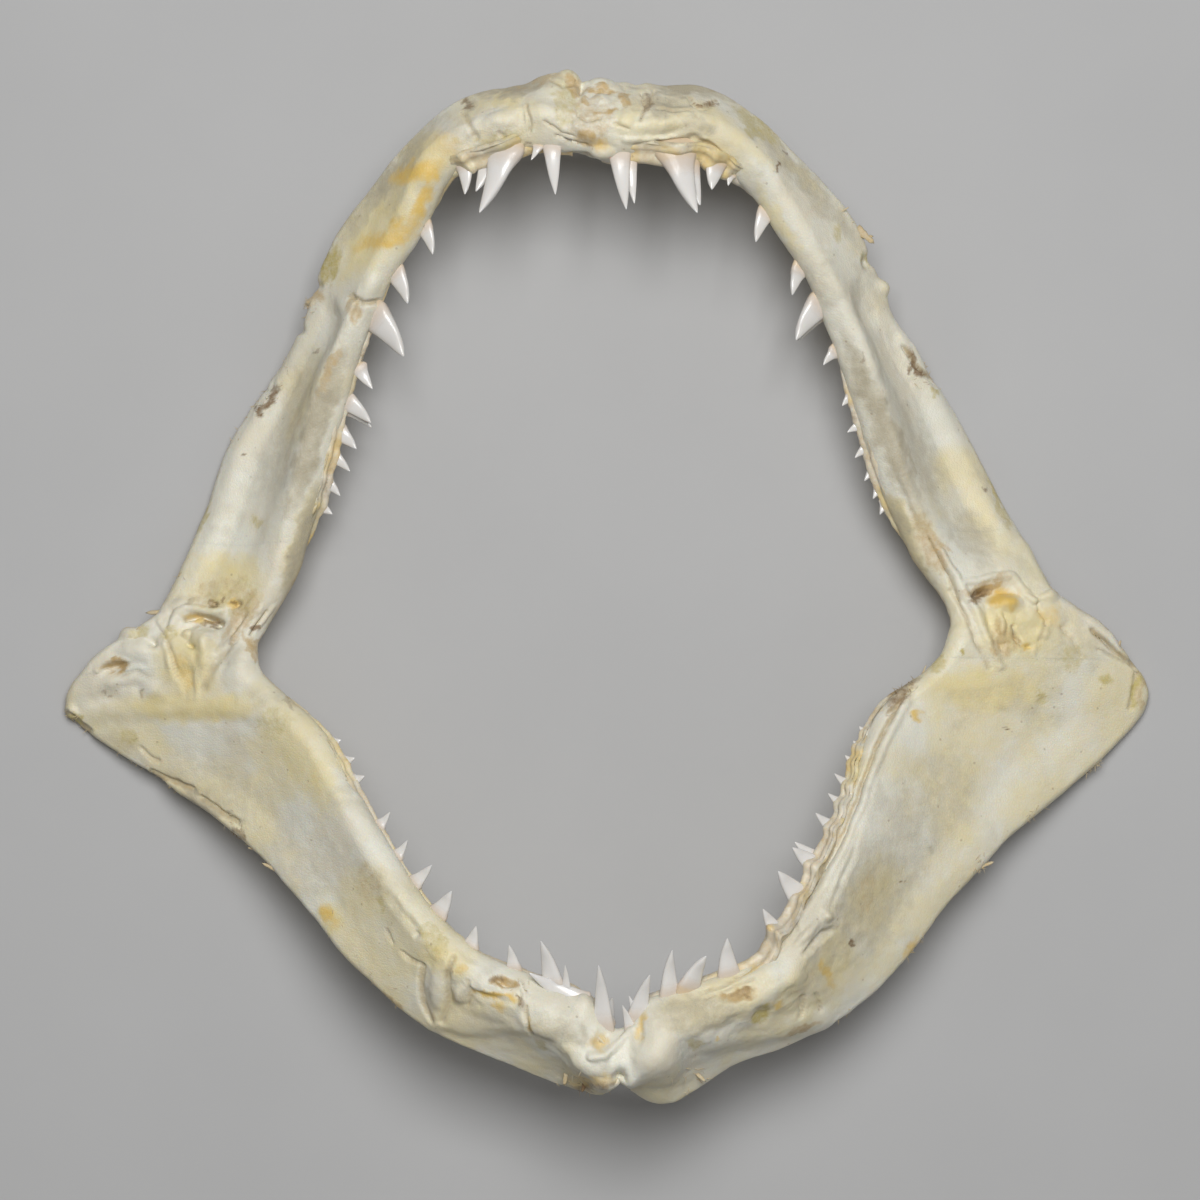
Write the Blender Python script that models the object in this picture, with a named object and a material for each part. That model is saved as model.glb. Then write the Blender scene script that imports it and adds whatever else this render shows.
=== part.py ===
"""Dried jaw of a mako shark, life size, lying on its back with the mouth towards +Z.

Run with: blender --background --python part.py

X runs across the jaw, Y from the lower jaw to the upper jaw, Z up from the floor.
Lengths below are in millimetres and are turned into metres when a mesh is made.
Left and right are the shark's own, so its right side lies at -X.
"""
import math
import random
from collections import namedtuple

import bmesh
import bpy
from mathutils import Vector

MM = 0.001

# Driving dimensions
GAP = 0.3                 # room kept between two pieces that touch
RINGS_PER_STATION = 3
LABIAL_STEPS = 9
LINGUAL_STEPS = 6
FRONT_SHARE = 0.6         # share of a half's length over which it thins towards the joint
SYMPHYSIS_SWEEP = 1.0     # stations over which a half turns square to its symphysis

TOOTH_LIFT = 20.0         # degrees that the standing teeth rise above the level
TOOTH_FLATNESS = 0.62     # thickness of a crown for its width
TOOTH_SIDES = 6
NECK_DEPTH = 0.5          # how far the neck of a standing tooth is sunk in the margin
ROOT_DEPTH = 6.0          # how far its root reaches behind the neck
ROOT_WIDTH = 0.42         # half width of the root, in base widths
CROWN_PROFILE = ((0.0, 0.56), (0.30, 0.36), (0.72, 0.20))   # height and half width of a crown
READY_TURN = 36.0         # degrees that the tooth behind a standing one still has to turn
READY_BACK = 3.0          # how far behind the standing one it stands
READY_RISE = 0.9          # how far from the margin's edge it comes out
READY_SIZES = (0.86, 0.94)      # its size for the standing one's
LYING_TURNS = (145.0, 165.0)    # degrees between a lying replacement and the margin's edge
LYING_DEPTHS = (4.5, 9.5)       # how far behind the margin each lying row has its roots
LYING_SINK = 0.8          # how far the roots of a lying row are sunk in the cartilage
LYING_ROOT = 1.6          # how far such a root reaches behind its neck
LYING_PROFILE = ((0.0, 0.56), (0.5, 0.30))
LYING_SIZES = (0.78, 0.92)      # size of the first lying row for the standing one's
LYING_SHRINK = 0.08       # how much smaller the second one is
LYING_SIDES = 5
SEED = 7

# Stations along each half, from the symphysis to the jaw joint.
# Each row: tooth margin x, y, z, then the outer margin x, y, z.
UPPER_LEFT_STATIONS = (
    (-1.5, 127.0, 58.0, -2.0, 148.5, 40.0),
    (14.0, 128.5, 58.0, 14.5, 148.0, 38.0),
    (30.0, 128.0, 55.0, 32.5, 146.9, 35.0),
    (42.0, 118.0, 50.0, 53.9, 130.7, 31.0),
    (52.5, 103.0, 46.0, 72.3, 112.7, 26.0),
    (61.0, 89.0, 42.0, 80.8, 95.2, 21.0),
    (65.5, 78.5, 39.5, 86.4, 81.9, 15.5),
    (69.5, 68.0, 37.5, 94.5, 69.0, 9.0),
    (75.0, 52.5, 33.0, 107.0, 51.0, 2.0),
    (83.5, 27.5, 28.0, 121.0, 25.0, 1.0),
    (92.0, 10.5, 25.0, 128.5, 11.5, 6.0),
    (99.5, -0.5, 23.0, 134.5, 0.0, 11.0),
)
UPPER_RIGHT_STATIONS = (
    (-10.0, 128.5, 58.0, -9.5, 149.0, 40.0),
    (-21.0, 130.5, 58.0, -21.5, 148.5, 38.0),
    (-36.0, 127.5, 55.0, -39.5, 145.9, 35.0),
    (-46.5, 122.5, 51.0, -56.4, 134.7, 32.0),
    (-55.0, 106.0, 46.0, -72.8, 116.2, 26.0),
    (-64.0, 92.0, 42.0, -84.8, 98.2, 21.0),
    (-71.0, 76.0, 38.0, -91.9, 78.4, 14.0),
    (-77.0, 59.5, 34.0, -103.0, 60.0, 2.5),
    (-82.0, 42.5, 30.0, -114.5, 43.5, 0.8),
    (-87.5, 22.5, 27.0, -122.5, 23.0, 2.0),
    (-93.0, 5.0, 25.0, -129.0, 6.0, 8.0),
    (-102.0, -10.0, 22.0, -135.5, -7.5, 11.0),
)
LOWER_LEFT_STATIONS = (
    (6.5, -130.0, 76.0, 6.5, -146.0, 50.0),
    (14.5, -120.5, 75.0, 17.0, -151.0, 47.0),
    (28.5, -116.0, 72.0, 38.0, -141.0, 43.0),
    (46.5, -108.5, 68.0, 59.9, -133.3, 39.0),
    (57.0, -93.5, 62.0, 81.8, -119.2, 33.0),
    (65.5, -77.5, 56.0, 102.1, -95.7, 25.0),
    (72.0, -61.5, 50.0, 119.5, -78.2, 18.0),
    (76.0, -46.0, 43.0, 141.5, -60.8, 7.2),
    (83.0, -34.5, 36.0, 159.0, -44.5, 0.6),
    (94.5, -26.0, 30.0, 165.5, -31.5, 1.8),
    (101.5, -18.5, 27.0, 156.0, -17.5, 8.0),
    (104.0, -12.5, 25.0, 142.5, -6.5, 11.0),
)
LOWER_RIGHT_STATIONS = (
    (1.5, -131.0, 76.0, 1.5, -145.5, 50.0),
    (-8.5, -122.0, 75.0, -6.0, -148.0, 47.0),
    (-22.5, -114.0, 72.0, -25.9, -141.6, 47.0),
    (-39.0, -106.5, 68.0, -48.6, -132.5, 48.0),
    (-52.0, -93.5, 62.0, -72.4, -115.5, 42.0),
    (-63.5, -77.5, 56.0, -91.8, -93.8, 31.0),
    (-73.5, -61.0, 50.0, -110.8, -75.1, 21.0),
    (-83.0, -45.5, 43.0, -132.5, -60.3, 8.2),
    (-94.5, -34.0, 36.0, -157.5, -44.5, 0.6),
    (-103.0, -26.0, 30.0, -165.0, -34.5, 1.8),
    (-105.0, -21.5, 27.0, -157.5, -23.5, 8.0),
    (-105.5, -17.5, 25.0, -142.5, -13.0, 11.0),
)

# Standing teeth, from the symphysis to the joint.
# Each row: place along the stations, length from the margin to the tip, base width, lean in
# degrees about Z, and whether a replacement stands ready behind it.
UPPER_LEFT_TEETH = (
    (0.46, 17.5, 6.5, 4, True),
    (1.42, 21.0, 10.5, 20, True),
    (2.24, 10.0, 5.5, 6, False),
    (2.56, 4.5, 3.0, 12, False),
    (3.52, 8.5, 5.0, 35, False),
    (4.64, 7.0, 5.0, 50, False),
    (5.54, 12.0, 8.0, 41, True),
    (6.84, 4.8, 4.5, 43, False),
    (7.78, 3.0, 3.8, 47, False),
    (8.18, 3.8, 3.5, 30, False),
    (8.44, 4.3, 4.0, 42, False),
    (8.68, 3.8, 3.5, 62, False),
    (8.90, 3.3, 3.5, 70, False),
    (9.12, 3.2, 3.5, 72, False),
)
UPPER_RIGHT_TEETH = (
    (0.62, 15.0, 6.0, 3, False),
    (1.06, 4.5, 3.0, -3, False),
    (1.66, 20.5, 9.0, -25, True),
    (2.66, 8.5, 5.0, -24, False),
    (3.98, 8.0, 5.0, -40, False),
    (4.94, 9.5, 6.0, -48, False),
    (5.76, 14.5, 9.5, -43, False),
    (6.66, 7.0, 5.0, -58, False),
    (7.24, 9.5, 5.5, -38, True),
    (7.78, 7.2, 5.5, -39, False),
    (8.16, 7.0, 4.5, -38, False),
    (8.54, 6.0, 4.5, -42, False),
    (8.90, 4.5, 4.5, -28, False),
)
LOWER_LEFT_TEETH = (
    (0.52, 14.5, 5.4, -15, True),
    (1.36, 13.5, 5.5, -3, False),
    (1.78, 10.8, 6.5, -43, False),
    (2.42, 11.3, 6.5, -18, False),
    (3.40, 10.3, 5.5, 1, False),
    (4.10, 11.2, 7.0, -7, False),
    (4.66, 10.0, 6.0, -8, True),
    (5.36, 7.7, 4.8, -14, False),
    (5.80, 6.0, 4.2, -13, False),
    (6.16, 6.0, 4.0, -18, False),
    (6.58, 3.6, 3.5, -22, False),
    (6.90, 2.2, 3.0, -35, False),
)
LOWER_RIGHT_TEETH = (
    (0.38, 19.0, 5.5, 0, False),
    (0.96, 18.0, 5.5, 54, False),
    (1.56, 14.3, 6.5, 12, True),
    (2.32, 7.0, 5.0, 18, False),
    (3.10, 6.8, 5.5, 1, False),
    (3.84, 7.6, 5.5, 7, False),
    (4.42, 7.2, 5.0, 6, False),
    (4.90, 5.2, 4.2, 22, False),
    (5.42, 5.0, 4.0, 24, False),
    (6.22, 3.3, 4.0, 2, False),
    (6.56, 3.4, 4.0, 0, False),
    (6.92, 2.6, 3.8, 3, False),
)

# How thick the cartilage is on each side of the sheet between its two margins, front and rear.
# Its outer face has a hollow: where it starts, is full, wanes and ends along the half, its depth,
# and where its wall by the teeth and its slope by the outer margin each start and end. It also
# has a ridge by the teeth, a rim by the outer margin and a shoulder in front: height, middle and
# half width.
# Lengths run from 0 at the symphysis to 1, and widths from 0 at the teeth to 1.
UPPER_FORM = {
    "labial": (7.5, 4.8),
    "lingual": (7.0, 4.6),
    "fossa_reach": (0.42, 0.66, 0.84, 0.98),
    "fossa": (2.4, 0.10, 0.56, 0.60, 0.82),
    "tooth_ridge": (2.4, 0.08, 0.36),
    "outer_rim": (1.0, 0.80, 0.20),
    "shoulder": (0.5, 0.42, 0.34),
    "tooth_round": 4.5,
    "outer_round": 4.5,
}
LOWER_FORM = {
    "labial": (8.5, 4.6),
    "lingual": (7.5, 4.2),
    "fossa_reach": (0.30, 0.48, 0.60, 0.84),
    "fossa": (1.2, 0.14, 0.50, 0.62, 0.98),
    "tooth_ridge": (0.4, 0.10, 0.18),
    "outer_rim": (0.8, 0.84, 0.22),
    "shoulder": (2.2, 0.28, 0.42),
    "tooth_round": 5.0,
    "outer_round": 4.0,
}

Half = namedtuple("Half", "name stations form teeth")
UPPER_LEFT = Half("upper_jaw_left", UPPER_LEFT_STATIONS, UPPER_FORM, UPPER_LEFT_TEETH)
UPPER_RIGHT = Half("upper_jaw_right", UPPER_RIGHT_STATIONS, UPPER_FORM, UPPER_RIGHT_TEETH)
LOWER_LEFT = Half("lower_jaw_left", LOWER_LEFT_STATIONS, LOWER_FORM, LOWER_LEFT_TEETH)
LOWER_RIGHT = Half("lower_jaw_right", LOWER_RIGHT_STATIONS, LOWER_FORM, LOWER_RIGHT_TEETH)

# Scale of the rings of the tissue pieces between two cartilages, from one end to the other
LIGAMENT_SWELLS = (1.0, 1.04, 1.06, 1.04, 1.0)
UPPER_SYMPHYSIS_SWELLS = (1.0, 1.05, 0.97, 1.06, 1.0)
LOWER_SYMPHYSIS_SWELLS = (1.0, 0.86, 0.8, 0.88, 1.0)

CARTILAGE_COLOUR = (0.74, 0.69, 0.55)
LIGAMENT_COLOUR = (0.68, 0.55, 0.32)
TISSUE_COLOUR = (0.60, 0.49, 0.31)


def clear_scene():
    """Remove every object that the scene starts with."""
    for item in list(bpy.data.objects):
        bpy.data.objects.remove(item, do_unlink=True)


def make_material(name, colour, roughness):
    """A plain material of one colour."""
    material = bpy.data.materials.new(name)
    material.use_nodes = True
    shader = material.node_tree.nodes["Principled BSDF"]
    shader.inputs["Base Color"].default_value = (*colour, 1.0)
    shader.inputs["Roughness"].default_value = roughness
    shader.inputs["Metallic"].default_value = 0.0
    return material


def smooth(value):
    """Rise softly from 0 to 1 as value goes from 0 to 1."""
    value = min(1.0, max(0.0, value))
    return value * value * (3.0 - 2.0 * value)


def swell(value, middle, reach):
    """A soft hump of height 1 at middle that ends reach away from it."""
    distance = abs(value - middle) / reach
    return 0.0 if distance >= 1.0 else 0.5 + 0.5 * math.cos(math.pi * distance)


def round_off(distance, radius):
    """Height of a quarter circle of radius 1, distance/radius in from its edge."""
    inside = 1.0 - min(1.0, max(0.0, distance / radius))
    return math.sqrt(max(0.0, 1.0 - inside * inside))


def station_row(stations, place):
    """Read a smooth curve through the stations; place counts stations from the symphysis."""
    last = len(stations) - 1
    index = min(int(place), last - 1)
    part = place - index
    before = stations[max(0, index - 1)]
    here = stations[index]
    after = stations[index + 1]
    beyond = stations[min(last, index + 2)]
    row = []
    for p, q, r, s in zip(before, here, after, beyond):
        slope = r - p
        bend = 2.0 * p - 5.0 * q + 4.0 * r - s
        rest = 3.0 * q - p - 3.0 * r + s
        row.append(0.5 * (2.0 * q + part * (slope + part * (bend + part * rest))))
    return row


def thicknesses(form, progress):
    """How far the labial and lingual faces stand off the sheet, before any hollow."""
    labial_front, labial_rear = form["labial"]
    lingual_front, lingual_rear = form["lingual"]
    blend = smooth(progress / FRONT_SHARE)
    labial = labial_front + (labial_rear - labial_front) * blend
    lingual = lingual_front + (lingual_rear - lingual_front) * blend
    return labial, lingual


def overhang(thick, radius, level, tilt):
    """How far a rounded edge of a tilted sheet reaches past the sheet's own end."""
    return math.hypot(radius * level, thick * tilt) - radius * level


def section_frame(half, place):
    """The sheet's two ends, and the directions across it, out of its labial face and along it.

    The stations give the outline as it is seen from above, so the sheet's ends are drawn in
    from it by as much as its rounded edges reach past them. At the symphysis the two halves
    face each other square on.
    """
    row = station_row(half.stations, place)
    tooth = Vector(row[:3])
    outer = Vector(row[3:])
    step = 0.05
    low = station_row(half.stations, max(0.0, place - step))
    high = station_row(half.stations, min(len(half.stations) - 1.0, place + step))
    along = Vector([high[i] + high[i + 3] - low[i] - low[i + 3] for i in range(3)]).normalized()
    sideways = Vector((math.copysign(1.0, along.x), 0.0, 0.0))
    along = sideways.lerp(along, smooth(place / SYMPHYSIS_SWEEP)).normalized()
    across = (outer - tooth).normalized()
    facing = along.cross(across).normalized()
    if facing.z < 0.0:
        facing.negate()
    labial, lingual = thicknesses(half.form, place / (len(half.stations) - 1.0))
    flat = Vector((across.x, across.y, 0.0))
    level = flat.length
    flat.normalize()
    tilt = math.hypot(facing.x, facing.y)
    outer -= flat * overhang(labial, half.form["outer_round"], level, tilt)
    tooth += flat * overhang(lingual, half.form["tooth_round"], level, tilt)
    across = (outer - tooth).normalized()
    facing = (facing - across * facing.dot(across)).normalized()
    return tooth, outer, across, facing, along


def face_heights(form, progress, u, width):
    """How far the two faces stand off the sheet at u across it, hollow and ridges included."""
    labial, lingual = thicknesses(form, progress)
    start, full, waning, end = form["fossa_reach"]
    depth, wall_start, wall_end, slope_start, slope_end = form["fossa"]
    window = smooth((progress - start) / (full - start))
    window = window * smooth((end - progress) / (end - waning))
    wall = smooth((u - wall_start) / (wall_end - wall_start))
    slope = 1.0 - smooth((u - slope_start) / (slope_end - slope_start))
    labial -= window * depth * wall * slope
    for height, crest, half_width in (form["tooth_ridge"], form["outer_rim"]):
        labial += window * height * swell(u, crest, half_width)
    height, crest, half_width = form["shoulder"]
    labial += (1.0 - smooth(progress / start)) * height * swell(u, crest, half_width)
    edge = round_off(u * width, form["tooth_round"])
    edge *= round_off((1.0 - u) * width, form["outer_round"])
    return labial * edge, lingual * edge


def section_ring(half, place):
    """One ring round the cartilage: over the labial face and back by the lingual face."""
    tooth, outer, across, facing, _ = section_frame(half, place)
    width = (outer - tooth).length
    progress = place / (len(half.stations) - 1.0)
    ring = []
    for step in range(LABIAL_STEPS + 1):
        u = 0.5 - 0.5 * math.cos(math.pi * step / LABIAL_STEPS)
        labial, _ = face_heights(half.form, progress, u, width)
        ring.append(tooth + across * (u * width) + facing * labial)
    for step in range(LINGUAL_STEPS - 1, 0, -1):
        u = 0.5 - 0.5 * math.cos(math.pi * step / LINGUAL_STEPS)
        _, lingual = face_heights(half.form, progress, u, width)
        ring.append(tooth + across * (u * width) - facing * lingual)
    return ring


def loft(name, rings, tip=None):
    """Skin closed rings of equal count into one closed mesh, flat where it meets the floor.

    The last ring is closed by a face, or by a point where a tip is given.
    """
    shape = bmesh.new()
    loops = []
    for ring in rings:
        loops.append([shape.verts.new((p.x * MM, p.y * MM, max(0.0, p.z * MM))) for p in ring])
    count = len(loops[0])
    for low, high in zip(loops, loops[1:]):
        for i in range(count):
            j = (i + 1) % count
            shape.faces.new((low[i], low[j], high[j]))
            shape.faces.new((low[i], high[j], high[i]))
    shape.faces.new(reversed(loops[0]))
    if tip is None:
        shape.faces.new(loops[-1])
    else:
        point = shape.verts.new(tip * MM)
        for i in range(count):
            shape.faces.new((loops[-1][i], loops[-1][(i + 1) % count], point))
    bmesh.ops.recalc_face_normals(shape, faces=shape.faces)
    mesh = bpy.data.meshes.new(name)
    shape.to_mesh(mesh)
    shape.free()
    mesh.shade_smooth()
    thing = bpy.data.objects.new(name, mesh)
    bpy.context.scene.collection.objects.link(thing)
    return thing


def turned(vector, axis, degrees):
    """The vector turned about an axis by the right-hand rule."""
    angle = math.radians(degrees)
    axis = axis.normalized()
    flat = vector * math.cos(angle) + axis.cross(vector) * math.sin(angle)
    return flat + axis * (axis.dot(vector) * (1.0 - math.cos(angle)))


def make_tooth(name, root, direction, wide, crown, width, profile, sides):
    """One tooth along its direction: a root below its neck, then a crown up to its tip.

    The profile's rows give a height above the neck, in crown lengths, and a half width,
    in base widths.
    """
    thick = direction.cross(wide).normalized()
    rings = []
    for height, half_width in profile:
        middle = root + direction * (height * crown)
        ring = []
        for side in range(sides):
            angle = 2.0 * math.pi * side / sides
            sideways = wide * (math.cos(angle) * half_width * width)
            depth = thick * (math.sin(angle) * half_width * width * TOOTH_FLATNESS)
            ring.append(middle + sideways + depth)
        rings.append(ring)
    return loft(name, rings, tip=root + direction * crown)


def standing_tooth(half, name, row, turn=0.0, back=0.0, rise=0.0, size=1.0):
    """A tooth on the margin, or the one ready behind it when it is turned and set back."""
    place, crown, width, lean, _ = row
    _, _, across, facing, along = section_frame(half, place)
    margin = Vector(station_row(half.stations, place)[:3])
    inward = Vector((-across.x, -across.y, 0.0)).normalized()
    level = turned(inward, Vector((0.0, 0.0, 1.0)), lean)
    lift = math.radians(TOOTH_LIFT - turn)
    direction = level * math.cos(lift) + Vector((0.0, 0.0, math.sin(lift)))
    wide = (along - direction * along.dot(direction)).normalized()
    root = margin + across * rise - facing * back - direction * NECK_DEPTH
    length = crown * size + NECK_DEPTH
    profile = ((-ROOT_DEPTH / length, ROOT_WIDTH), *CROWN_PROFILE)
    return make_tooth(name, root, direction, wide, length, width * size, profile, TOOTH_SIDES)


def lying_tooth(half, name, row, level, size):
    """A replacement that lies on the lingual face, its tip pointing away from the margin."""
    place, crown, width, _, _ = row
    tooth, outer, across, facing, along = section_frame(half, place)
    sheet = (outer - tooth).length
    progress = place / (len(half.stations) - 1.0)
    depth = LYING_DEPTHS[level]
    _, lingual = face_heights(half.form, progress, depth / sheet, sheet)
    angle = math.radians(LYING_TURNS[level])
    direction = -across * math.cos(angle) - facing * math.sin(angle)
    root = tooth + across * depth - facing * (lingual - LYING_SINK)
    profile = ((-LYING_ROOT / crown, ROOT_WIDTH), *LYING_PROFILE)
    return make_tooth(name, root, direction, along, crown * size, width * size, profile,
                      LYING_SIDES)


def make_teeth(half):
    """All the teeth of one half: the standing row, those ready behind it, and the lying rows."""
    random.seed(SEED)
    teeth = []
    for number, row in enumerate(half.teeth, start=1):
        label = f"{half.name}_tooth_{number}"
        teeth.append(standing_tooth(half, f"{label}_standing", row))
        if row[4]:
            size = random.uniform(*READY_SIZES)
            teeth.append(standing_tooth(half, f"{label}_ready", row, READY_TURN, READY_BACK,
                                        READY_RISE, size))
        for level in range(len(LYING_TURNS)):
            size = random.uniform(*LYING_SIZES) - LYING_SHRINK * level
            teeth.append(lying_tooth(half, f"{label}_lying_{level}", row, level, size))
    return teeth


def keep_largest_surface(thing):
    """Drop any loose scrap or sealed hollow that a union leaves behind."""
    shape = bmesh.new()
    shape.from_mesh(thing.data)
    left = set(shape.verts)
    surfaces = []
    while left:
        start = left.pop()
        found = {start}
        queue = [start]
        while queue:
            for edge in queue.pop().link_edges:
                for vert in edge.verts:
                    if vert in left:
                        left.discard(vert)
                        found.add(vert)
                        queue.append(vert)
        surfaces.append(found)
    surfaces.sort(key=len)
    for scrap in surfaces[:-1]:
        bmesh.ops.delete(shape, geom=list(scrap), context='VERTS')
    shape.to_mesh(thing.data)
    shape.free()


def fuse(core, extras):
    """Join the extras to the core with one union, and leave one closed surface."""
    group = bpy.data.collections.new(f"{core.name}_extras")
    for extra in extras:
        group.objects.link(extra)
    union = core.modifiers.new("teeth", 'BOOLEAN')
    union.operation = 'UNION'
    union.solver = 'EXACT'
    union.operand_type = 'COLLECTION'
    union.collection = group
    bpy.context.view_layer.update()
    graph = bpy.context.evaluated_depsgraph_get()
    joined = bpy.data.meshes.new_from_object(core.evaluated_get(graph))
    core.modifiers.clear()
    core.data = joined
    for extra in extras:
        bpy.data.objects.remove(extra, do_unlink=True)
    bpy.data.collections.remove(group)
    keep_largest_surface(core)


def make_half(half, material):
    """One cartilage of the jaw with its teeth."""
    count = (len(half.stations) - 1) * RINGS_PER_STATION
    rings = [section_ring(half, i / RINGS_PER_STATION) for i in range(count + 1)]
    core = loft(half.name, rings)
    fuse(core, make_teeth(half))
    core.data.materials.clear()
    core.data.materials.append(material)


def end_face(half, at_joint):
    """The ring at one end of a cartilage, moved out of it by the gap."""
    place = len(half.stations) - 1.0 if at_joint else 0.0
    _, _, across, facing, along = section_frame(half, place)
    outward = across.cross(facing)
    ahead = along if at_joint else -along
    if outward.dot(ahead) < 0.0:
        outward.negate()
    return [point + outward * GAP for point in section_ring(half, place)]


def bridge(name, start, stop, swells, material):
    """A piece of dried tissue between two end faces; swells scale its rings on the way."""
    rings = []
    for number, scale in enumerate(swells):
        part = number / (len(swells) - 1.0)
        ring = [p.lerp(q, part) for p, q in zip(start, stop)]
        middle = sum(ring, Vector()) / len(ring)
        rings.append([middle + (point - middle) * scale for point in ring])
    thing = loft(name, rings)
    thing.data.materials.append(material)


def build():
    """Make the whole jaw."""
    clear_scene()
    cartilage = make_material("dried_cartilage", CARTILAGE_COLOUR, 0.55)
    ligament = make_material("joint_ligament", LIGAMENT_COLOUR, 0.5)
    tissue = make_material("symphysis_tissue", TISSUE_COLOUR, 0.6)
    for half in (UPPER_LEFT, UPPER_RIGHT, LOWER_LEFT, LOWER_RIGHT):
        make_half(half, cartilage)
    for side, upper, lower in (("left", UPPER_LEFT, LOWER_LEFT),
                               ("right", UPPER_RIGHT, LOWER_RIGHT)):
        bridge(f"joint_ligament_{side}", end_face(upper, True), end_face(lower, True),
               LIGAMENT_SWELLS, ligament)
    bridge("upper_symphysis", end_face(UPPER_RIGHT, False), end_face(UPPER_LEFT, False),
           UPPER_SYMPHYSIS_SWELLS, tissue)
    bridge("lower_symphysis", end_face(LOWER_RIGHT, False), end_face(LOWER_LEFT, False),
           LOWER_SYMPHYSIS_SWELLS, tissue)


build()
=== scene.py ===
"""Looks of a dried mako shark jaw that lies on its back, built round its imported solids.

The file is laid out as an add-on and is run as a script. X runs across the jaw, Y from the lower
jaw to the upper jaw, Z up from the floor. Sizes are in millimetres unless a comment says
otherwise. Left and right are the shark's own, so its right side lies at -X.
"""
import itertools
import math
import random
from collections import namedtuple

import bpy
import numpy as np
from bpy.props import FloatProperty, FloatVectorProperty, PointerProperty
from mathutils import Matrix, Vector
from mathutils.kdtree import KDTree


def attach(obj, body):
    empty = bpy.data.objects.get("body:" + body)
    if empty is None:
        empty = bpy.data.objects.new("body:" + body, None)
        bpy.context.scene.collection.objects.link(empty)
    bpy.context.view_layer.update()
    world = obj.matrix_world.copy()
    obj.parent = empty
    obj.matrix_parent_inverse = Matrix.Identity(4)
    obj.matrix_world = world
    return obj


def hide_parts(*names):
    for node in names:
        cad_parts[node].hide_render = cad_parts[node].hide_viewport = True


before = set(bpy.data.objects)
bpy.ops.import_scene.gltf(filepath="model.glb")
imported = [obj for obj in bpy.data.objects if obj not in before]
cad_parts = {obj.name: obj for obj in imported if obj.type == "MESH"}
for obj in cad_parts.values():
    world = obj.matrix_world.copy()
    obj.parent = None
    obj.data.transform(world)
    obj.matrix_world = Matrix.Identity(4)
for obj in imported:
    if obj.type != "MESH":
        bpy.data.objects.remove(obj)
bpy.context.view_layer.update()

bl_info = {
    "name": "Mako Shark Jaw",
    "version": (1, 0, 0),
    "blender": (4, 5, 0),
    "location": "View3D > Sidebar > Shark Jaw",
    "description": "Builds the cartilage, teeth and dried tissue of a mako shark's jaw",
    "category": "Object",
}

MM = 0.001

# The photograph, seen from straight above the jaw
PHOTO_SIDE = 1200.0       # pixels
PHOTO_MIDDLE = PHOTO_SIDE / 2.0
PHOTO_PIXEL = 0.3063      # millimetres on the floor for one of its pixels
CAMERA_X = -1.961
CAMERA_Y = -3.922
CAMERA_HEIGHT = 1500.0
SENSOR = 36.0

UP = Vector((0.0, 0.0, 1.0))

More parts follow.
